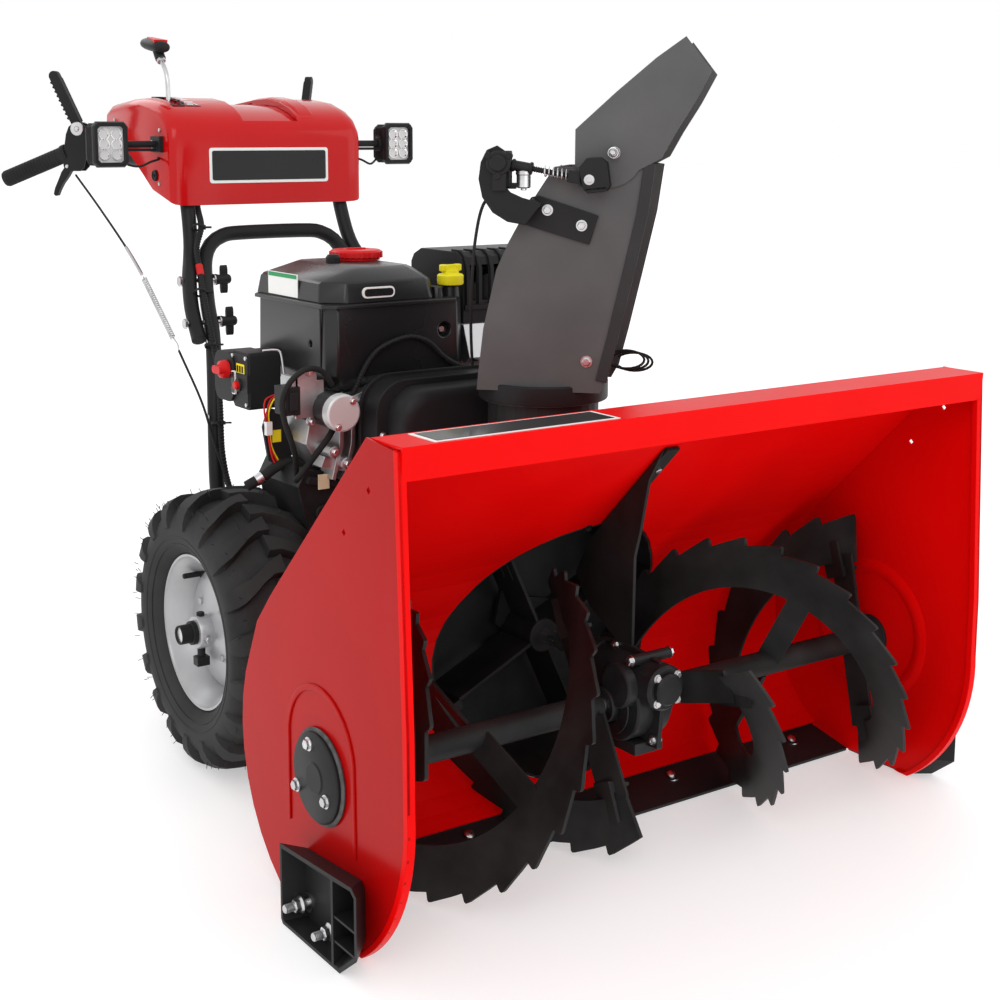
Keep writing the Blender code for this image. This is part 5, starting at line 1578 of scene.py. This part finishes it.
def fuel_cap():
    """Ribbed fuel cap."""
    body = turned([(0, 750.4), (37, 750.4), (37, 754), (40, 755), (40, 763), (37, 766), (20, 767), (18, 765.5),
                   (0, 765.5)], (CAP_X, CAP_Y, 0), "Z", 72)
    middle = Matrix.Translation((CAP_X, CAP_Y, 0))
    ribs = [moved(block(38, 41.3, -1.4, 1.4, 754, 763.5),
                  middle @ Matrix.Rotation(math.radians(degrees), 4, "Z"))
            for degrees in range(0, 360, 12)]
    return joined(body, block(CAP_X - 16, CAP_X + 16, CAP_Y - 3, CAP_Y + 3, 765, 768.5), *ribs)


def oil_cap():
    """Cap of the oil filler."""
    skirt = turned([(0, 718), (19, 718), (20, 720), (20, 732), (18, 734), (13, 735), (12.5, 740), (0, 741)],
                   (NECK_X, OIL_Y, 0), "Z", 48)
    wing = moved(block(-17, 17, -5, 5, 739, 748), Matrix.Translation((NECK_X, OIL_Y, 0)))
    lobes = [rod((NECK_X + x, OIL_Y, 0), "Z", 6.5, 738, 748.5, 24, 1.5) for x in (-12, 12)]
    return joined(skirt, wing, *lobes)


def crankcase():
    """Cast case with cooling ribs, cylinder fins and the recoil housing."""
    bottom = 330.4
    outline = [(-118, bottom), (118, bottom), (130, 380), (130, 500), (96, 584), (-96, 584), (-130, 500),
               (-130, 380)]
    shapes = [prism("Y", outline, 596, 845)]
    for k in range(13):
        shapes.append(block(112, 222, 654 + k * 11.5, 658.2 + k * 11.5, 420, 556))
    shapes.append(block(110, 204, 650, 800, 440, 540))
    shapes.append(turned([(0, 828), (96, 828), (104, 836), (104, 878), (98, 886), (0, 886)], (0, 0, CRANK_Z),
                         "Y", 64))
    return joined(*shapes)


def side_case():
    """Ribbed gear cover on the crankcase's left front, with its bosses."""
    outline = [(-128, 430), (-196, 436), (-236, 462), (-258, 500), (-250, 540), (-214, 566), (-168, 584),
               (-128, 586)]
    shapes = [prism("Y", outline, 640, 720)]
    for k in range(5):
        x0 = -236 + k * 19
        rib = [(x0, 452 - k * 4), (x0 + 6, 450 - k * 4), (x0 + 20, 500), (x0 + 22, 548), (x0 + 15, 549),
               (x0 + 13, 502)]
        shapes.append(prism("Y", rib, 604, 642))
    shapes.append(prism("Y", [(-250, 470), (-128, 440), (-128, 452), (-244, 486)], 610, 646))
    shapes.append(prism("Y", [(-226, 548), (-132, 578), (-132, 590), (-226, 562)], 606, 646))
    for x, z in ((-162, 573), (-216, 475), (-186, 562), (-236, 494)):
        shapes.append(rod((x, 0, z), "Y", 9.5, 594, 650, 28, 1.5))
    return joined(*shapes)


def lower_casting():
    """Dark sump foot with its flange and mounting lugs."""
    outline = [(-128, 332), (-232, 340), (-266, 392), (-276, 440), (-262, 466), (-206, 452), (-128, 440)]
    body = prism("Y", outline, 632, 760)
    rib = prism("Y", [(-262, 456), (-206, 442), (-206, 434), (-266, 446)], 622, 640)
    lug = rod((-240, 0, 400), "Y", 11, 624, 640, 28, 1.5)
    foot = block(-236, -170, 640, 780, 331, 346)
    return joined(body, rib, lug, foot)


def starter():
    """Pale end cover of the starter motor."""
    profile = [(0, 558), (24, 558), (26.5, 560.5), (27, 566), (27, 574), (0, 574)]
    return turned(profile, (STARTER_X, 0, STARTER_Z), "Y", 64)


def starter_can():
    """Ringed can and drive end of the starter motor."""
    profile = [(0, 572), (25.6, 572), (25.6, 640), (26.4, 641), (26.4, 646), (25.6, 647), (25.6, 690),
               (20, 696),
               (20, 712), (0, 712)]
    return turned(profile, (STARTER_X, 0, STARTER_Z), "Y", 48)


def coil_bracket():
    """Pressed frame of the coil, left of the starter."""
    plates = [block(-292, -258, 604, 608, 546, 610), block(-296, -288, 604, 640, 550, 606),
              block(-262, -246, 606, 610, 560, 598)]
    lugs = [rod((-270, 0, 612), "Y", 7, 602, 608, 20, 0.5), rod((-268, 0, 540), "Y", 7, 602, 608, 20, 0.5)]
    return joined(*plates, *lugs)


def coil_core():
    """Black body of the coil."""
    return joined(block(-311, -288, 597, 632, 553, 593), block(-306, -293, 593, 598, 560, 586))


def lower_plate():
    """Dark terminal plate behind the wires."""
    return prism("Y", [(-288, 470), (-262, 452), (-246, 480), (-262, 540), (-286, 548), (-296, 520)], 700,
                 706)


def control_body():
    """Control box: flat front part and a rounded rear part."""
    front = prism("X", rounded(762, 818, 534, 620, 6), -286, -234)
    rear = prism("X", rounded(806, 872, 540, 616, 20, 8), -291.6, -238)
    rail = block(-290, -284, 762, 812, 560, 588)
    lip = prism("X", rounded(764, 816, 538, 616, 5), -288, -284)
    return joined(front, rear, rail, lip)


def build_control_box():
    add("control_box", control_body(), "black_plastic", bevel=1.2, stands_for=("control_box",))
    knob = turned([(0, -306), (9, -306), (13, -303), (14, -299), (14, -292.4), (0, -292.4)], (0, 826, 590),
                  "X", 40)
    grip = prism("X", rounded(812, 840, 584, 596, 5.5), -311, -300)
    add("choke_knob", joined(knob, grip), "red_plastic", "choke", bevel=0.6, stands_for=("choke_knob",))
    button = turned([(0, -298.6), (4.5, -298.6), (6.5, -297), (6.5, -285), (0, -285)], (0, 790, 570), "X", 32)
    add("start_button", button, "red_plastic", "starter_button", stands_for=("start_button",))
    add("button_ring", turned([(6.9, -292.6), (9.5, -292.6), (10, -291), (10, -288), (6.9, -288)],
                              (0, 790, 570), "X", 36),
        "black_plastic")
    rocker = prism("X", rounded(801, 810, 556, 588, 2), -292.8, -289.5)
    add("rocker_plate", rocker, "black_print", bevel=0.4)
    add("rocker_border", prism("X", rounded(799.5, 811.5, 554, 590, 3), -292.0, -289.5), "white_print")
    add("control_label", block(-288.9, -287.7, 774, 800, 586, 602), "yellow_print")
    bars = [block(-289.3, -288.7, 777 + k * 8, 782 + k * 8, 589, 599) for k in range(3)]
    add("control_label_bars", joined(*bars), "black_print")
    for y, z in ((768, 612), (812, 612), (768, 542)):
        hex_bolt((-288.0, y, z), (-1, 0, 0), 4.5, washer=False)
    wire = [(-292, 704, 632), (-274, 702, 632), (-266, 700, 629), (-262, 700, 610), (-259, 700, 584)]
    add("choke_wire", pipe(smooth_route(wire, 5), 1.6, 10), "brushed")


def muffler_hood():
    """Guard over the muffler, louvred on its front and top, open below."""
    outline = [(650, 600), (800, 600), (800, 742), (792, 754), (770, 764), (668, 764), (656, 756), (650, 738)]
    body = prism("X", outline, 20, 214)
    inner = [(654, 590), (796, 590), (796, 740), (789, 751), (768, 760), (670, 760), (659, 753), (654, 736)]
    room = prism("X", inner, 24, 210)
    slots = [block(34 + k * 22, 46 + k * 22, 640, 664, 690, 744) for k in range(8)]
    return cut(body, room, *slots)


def hood_louvres():
    """Raised ribs between the slots, wrapped over the hood's front edge."""
    section = [(650, 684), (650, 738), (656, 756), (668, 764), (690, 764), (690, 767), (666, 767), (653, 758),
               (646.5, 739), (646.5, 684)]
    ribs = [prism("X", section, 24.5 + k * 22, 30 + k * 22) for k in range(9)]
    return joined(*ribs, block(22, 212, 646.5, 651, 676, 684))


def muffler():
    """Round-ended muffler box under the guard, with its pipe."""
    body = prism("Y", rounded(40, 196, 612, 730, 44, 8), 664, 786)
    seam = prism("Y", rounded(36, 200, 608, 734, 46, 8), 722, 727)
    route = smooth_route([(70, 672, 640), (64, 668, 610), (80, 690, 570), (110, 720, 540)], 8)
    return joined(body, seam, pipe(route, 12, 24))


def build_engine():
    add("engine_shroud", shroud(), "shroud_plastic", bevel=3.0, stands_for=("engine_shroud",), segments=3)
    add("shroud_ledge", shroud_trim(), "shroud_plastic", bevel=1.0)
    add("engine_lid", lid(), "shroud_plastic", bevel=3.5, stands_for=("engine_top_cover",), segments=3)
    add("lid_step", lid_step(), "shroud_plastic", bevel=1.0)
    add("fuel_cap", fuel_cap(), "red_plastic", "fuel_filler_cap", bevel=0.6, stands_for=("fuel_cap",))
    add("vent_cap", turned([(0, 748), (11, 748), (11, 758), (8, 762), (0, 763)], (-150, 748, 0), "Z", 32),
        "black_plastic")
    add("oil_cap", oil_cap(), "yellow_plastic", "oil_filler_cap", bevel=0.5, stands_for=("oil_cap",))
    add("sticker", block(-229.8, -228.6, 712, 806, 704, 738), "white_print")
    add("sticker_band", block(-230.2, -229.2, 714, 804, 731, 737), "green_print")
    add("engine_badge", prism("Y", rounded(-174, -120, 708, 724, 7), 617.4, 620.5), "white_print", bevel=0.4)
    add("engine_badge_face", prism("Y", rounded(-171, -123, 710.5, 721.5, 5), 616.8, 619.5), "black_print")
    add("well_screw", rod((-34, 0, 654), "Y", 5.0, 626, 631, 20, 0.8), "steel")
    add("crankcase", crankcase(), "cast_aluminium", bevel=2.0, stands_for=("engine_block",))
    add("side_case", side_case(), "cast_aluminium", bevel=3.0, segments=3)
    add("lower_casting", lower_casting(), "cast_iron", bevel=3.0)
    add("hang_tag", block(-250, -232, 619, 621, 436, 458), "tag_cream", bevel=0.5)
    add("starter_cover", starter(), "satin_aluminium", bevel=0.8, stands_for=("starter_motor",))
    add("starter_can", starter_can(), "cast_iron")
    for x, z in ((14, 16), (-10, -19)):
        hex_bolt((STARTER_X + x, 558, STARTER_Z + z), (0, -1, 0), 5.2)
    add("coil_bracket", coil_bracket(), "cast_aluminium", bevel=0.6)
    add("coil_core", coil_core(), "black_plastic", bevel=1.0)
    add("terminal_plate", lower_plate(), "black_plastic", bevel=1.0)
    add("terminal_label", block(-282, -268, 698.6, 700, 496, 514), "yellow_print")
    for x, y, z in ((-162, 594, 573), (-216, 594, 475), (-186, 594, 562), (-236, 594, 494)):
        hex_bolt((x, y, z), (0, -1, 0), 6.5)
    for x, z in ((-270, 612), (-268, 540)):
        hex_bolt((x, 602, z), (0, -1, 0), 5)
    build_engine_lines()
    build_control_box()
    add("muffler_guard", muffler_hood(), "black_paint", bevel=1.0, stands_for=("muffler_guard",))
    add("guard_louvres", hood_louvres(), "black_paint", bevel=0.8)
    add("muffler", muffler(), "cast_iron", bevel=1.5)
    shield = prism("X", [(622, 606), (636, 596), (650, 600), (664, 640), (664, 656), (640, 656)], 14, 58)
    add("heat_shield", shield, "brushed", bevel=0.8)
    hex_bolt((30, 634, 588), (0, -1, 0), 7)
    add("red_bracket", prism("Y", [(12, 560), (52, 560), (52, 596), (30, 604), (12, 596)], 642, 646),
        "red_plastic",
        bevel=0.6)
    build_recoil()


def build_recoil():
    """Pull handle, and the round grille with its blades on the engine's rear."""
    bar = joined(prism("Y", rounded(25, 85, 550, 570, 8), 898, 912),
                 rod((55, 0, 560), "Y", 7.5, 876, 900, 24, 1.0))
    add("recoil_handle", bar, "black_plastic", "recoil_grip", bevel=2.5, stands_for=("recoil_handle",))
    turn = Matrix.Translation((0, 0, CRANK_Z)) @ Matrix.Rotation(math.pi / 2, 4, "X")
    blades = [moved(block(52, 88, -3.2, 3.2, -888.0, -885.0),
                    turn @ Matrix.Rotation(math.radians(k * 22.5), 4, "Z"))
              for k in range(16)]
    ring = turned([(90, 885), (94, 885), (94, 889), (90, 889)], (0, 0, CRANK_Z), "Y", 72)
    hub = turned([(0, 885), (30, 885), (30, 888), (26, 890), (0, 890)], (0, 0, CRANK_Z), "Y", 48)
    add("recoil_grille", joined(ring, hub, *blades), "black_paint", bevel=0.4)
    for k in range(4):
        angle = math.radians(45 + k * 90)
        hex_bolt((98 * math.cos(angle), 886, CRANK_Z + 98 * math.sin(angle)), (0, 1, 0), 5.5)


def build_engine_lines():
    """Cables, hoses and small wiring on the engine's left front."""
    loop = [(-234, 604, 590), (-246, 600, 606), (-262, 596, 616), (-282, 596, 616), (-304, 596, 601),
            (-316, 598, 575),
            (-312, 600, 546), (-300, 604, 515), (-290, 612, 490), (-280, 630, 470), (-268, 650, 452)]
    add("battery_lead", pipe(smooth_route(loop, 6), 4.2, 14), "rubber")
    lead = [(-236, 592, 536), (-248, 588, 520), (-266, 588, 500), (-282, 594, 478), (-288, 606, 462),
            (-280, 630, 452)]
    add("starter_lead", pipe(smooth_route(lead, 6), 4.6, 14), "rubber")
    conduit = [(-196, 612, 572), (-190, 610, 584), (-182, 610, 600), (-168, 611, 620), (-150, 612, 635),
               (-120, 612, 646), (-92, 612, 648), (-64, 612, 637), (-40, 612, 615), (-14, 612, 600),
               (10, 616, 597),
               (30, 630, 598), (44, 650, 604)]
    add("conduit", pipe(smooth_route(conduit, 2.2), 3.3, 14, 0.7), "black_plastic", smooth=20)
    hose = [(-322, 706, 434), (-298, 702, 446), (-274, 700, 460), (-250, 698, 464), (-232, 690, 458)]
    add("drain_hose", pipe(smooth_route(hose, 6), 8.0, 20), "rubber")
    add("hose_band", pipe(smooth_route(hose, 6)[3:6], 8.9, 24), "brushed")
    duct = [(-262, 720, 452), (-256, 716, 428), (-240, 712, 408), (-216, 708, 396), (-186, 704, 390)]
    add("duct", pipe(smooth_route(duct, 6), 11.0, 24), "satin_aluminium")
    wires = (("wire_a", "wire_red", 0.0), ("wire_b", "yellow_print", 5.0), ("wire_c", "wire_red", -9.0))
    for name, finish, shift in wires:
        run = [(-264 + shift, 704, 566), (-282 + shift, 700, 560), (-290 + shift * 0.5, 698, 542),
               (-288 + shift * 0.3, 698, 520), (-284, 698, 486 + shift), (-272, 700, 462 + shift)]
        add(name, pipe(smooth_route(run, 5), 1.3, 8), finish)
    add("wire_plug", block(-294, -284, 693, 703, 508, 528), "white_print", bevel=0.8)
    add("mount_block", block(-206, -150, 612, 690, 331, 352), "black_paint", bevel=1.5)
    add("mount_tag", block(-202, -176, 608, 612, 331, 350), "red_plastic", bevel=0.5)


# ---------------------------------------------------------------- chassis

def tier(half, top, corner, bottom):
    """Belt cover outline with rounded upper corners."""
    right = arc((half - corner, top - corner), corner, 0, 90, 10)
    left = arc((-half + corner, top - corner), corner, 90, 180, 10)
    return [(half, bottom)] + right + left + [(-half, bottom)]


def cover():
    """Front tier of the belt cover, with its rim rolled over."""
    outside = [(158, 570, 37, 506), (164, 576, 40, 507), (172, 584, 44, 511), (176, 588, 46, 520),
               (176, 588, 46, 550)]
    inside = [(170, 582, 44, 550), (170, 582, 44, 524), (152, 564, 35, 510)]
    return skinned([[(x, y, z) for x, z in tier(half, top, corner, 334)] for half, top, corner,
                    y in outside + inside])


def open_below(outline):
    """The outline with its foot drawn down past the cover's."""
    return [(x, z if z > 334 else 320) for x, z in outline]


def cover_rear():
    """Wider rear tier of the belt cover: wall, ring and lip, each open below."""
    inner = open_below(tier(190, 593, 45, 334))
    ring = cut(prism("Y", tier(194, 597, 48, 334), 550, 592), prism("Y", inner, 540, 600))
    lip = cut(prism("Y", tier(199, 602, 50, 334), 586, 592), prism("Y", inner, 580, 600))
    hole = open_below(tier(170, 582, 43, 334))
    wall = cut(prism("Y", tier(194, 597, 48, 334), 548, 552), prism("Y", hole, 540, 560))
    return joined(ring, lip, wall)


def build_chassis():
    add("belt_cover", cover(), "black_plastic", bevel=1.5, smooth=50, stands_for=("belt_cover",))
    add("belt_cover_rear", cover_rear(), "black_plastic", bevel=1.2, smooth=50)
    # Painted shade: the chassis frame under the engine takes the darker copy of the red paint.
    dress("chassis_frame", "dark_red_paint", 2.0)
    dress("transmission_case", "cast_aluminium", 1.5)
    for sign in (-1, 1):
        for y in (560, 700, 860, 1010):
            hex_bolt((sign * 202.0, y, 300), (sign, 0, 0), 7.5)
        bearing = turned([(13.4, 202.4), (30, 202.4), (32, 204), (32, 208), (22, 211), (13.4, 211)],
                         (0, AXLE_Y, AXLE_Z), "X", 40)
        if sign < 0:
            bearing = mirrored(bearing)
        add(f"axle_bearing_{'left' if sign < 0 else 'right'}", bearing, "black_paint")
        keep(block(sign * 203, sign * 207, 700, 824, 168, 250), "machine", "black_paint")
        for y in (712, 812):
            for z in (180, 238):
                hex_bolt((sign * 207.0, y, z), (sign, 0, 0), 6)
    for x in (-190, 190):
        for z in (360, 450, 540):
            hex_bolt((x * 0.97, 547.5, z - 20), (0, -1, 0), 5.5)


# ---------------------------------------------------------------- stage

def soft_light(name, place, aim, size, power):
    """A rectangular light aimed at a point."""
    data = bpy.data.lights.new(name, "AREA")
    data.shape = "RECTANGLE"
    data.size, data.size_y = size
    data.energy = power
    item = bpy.data.objects.new(name, data)
    item.location = place
    item.rotation_euler = (Vector(aim) - Vector(place)).to_track_quat("-Z", "Y").to_euler()
    bpy.context.scene.collection.objects.link(item)


def floor_finish():
    """Pale floor with a little light of its own."""
    made, nodes, links, shader = tree_of("studio_floor")
    grain = nodes.new("ShaderNodeTexNoise")
    grain.inputs["Scale"].default_value = 40.0
    gloss = nodes.new("ShaderNodeMapRange")
    gloss.inputs["To Min"].default_value = 0.55
    gloss.inputs["To Max"].default_value = 0.65
    links.new(grain.outputs["Fac"], gloss.inputs["Value"])
    links.new(gloss.outputs["Result"], shader.inputs["Roughness"])
    shader.inputs["Base Color"].default_value = (0.62, 0.62, 0.62, 1.0)
    shader.inputs["Emission Color"].default_value = (1.0, 1.0, 1.0, 1.0)
    shader.inputs["Emission Strength"].default_value = 0.45
    return made


def build_stage():
    scene = bpy.context.scene
    mesh = bpy.data.meshes.new("studio_floor")
    bm = bmesh.new()
    bmesh.ops.create_grid(bm, x_segments=1, y_segments=1, size=30.0)
    bm.to_mesh(mesh)
    bm.free()
    mesh.materials.append(floor_finish())
    floor = bpy.data.objects.new("studio_floor", mesh)
    scene.collection.objects.link(floor)
    world = bpy.data.worlds.new("studio")
    world.use_nodes = True
    nodes = world.node_tree.nodes
    nodes["Background"].inputs["Color"].default_value = (1.0, 1.0, 1.0, 1.0)
    nodes["Background"].inputs["Strength"].default_value = 1.0
    scene.world = world
    soft_light("key", (-2.6, -3.4, 3.4), (0.0, -0.3, 0.5), (2.6, 2.6), 45.0)
    soft_light("fill", (3.4, -2.6, 2.2), (0.1, -0.3, 0.5), (2.0, 2.6), 14.0)
    soft_light("back", (-0.6, 4.0, 3.2), (0.0, 0.2, 0.6), (3.2, 2.0), 30.0)
    soft_light("mouth", (0.2, -4.0, 0.9), (0.0, -0.6, 0.3), (3.0, 1.4), 12.0)
    scene.view_settings.view_transform = "Standard"
    data = bpy.data.cameras.new("camera")
    data.lens = 57.27
    data.sensor_width = 36.0
    data.shift_y = -0.1
    data.clip_end = 60.0
    camera = bpy.data.objects.new("camera", data)
    ahead = Vector((0.56296, 0.80919, -0.16820)).normalized()
    roll = Matrix.Rotation(math.radians(-0.16), 3, ahead)
    camera.rotation_euler = (roll @ ahead.to_track_quat("-Z", "Y").to_matrix()).to_euler()
    camera.location = (-1.3132, -2.2176, 0.9498)
    scene.collection.objects.link(camera)
    scene.camera = camera


# ---------------------------------------------------------------- assembly

build_wheels()
build_augers()
build_drive()
build_housing()
build_gearbox()
build_chute()
build_dash()
build_lamps()
build_handles()
build_engine()
build_chassis()
write_fasteners()
build_stage()
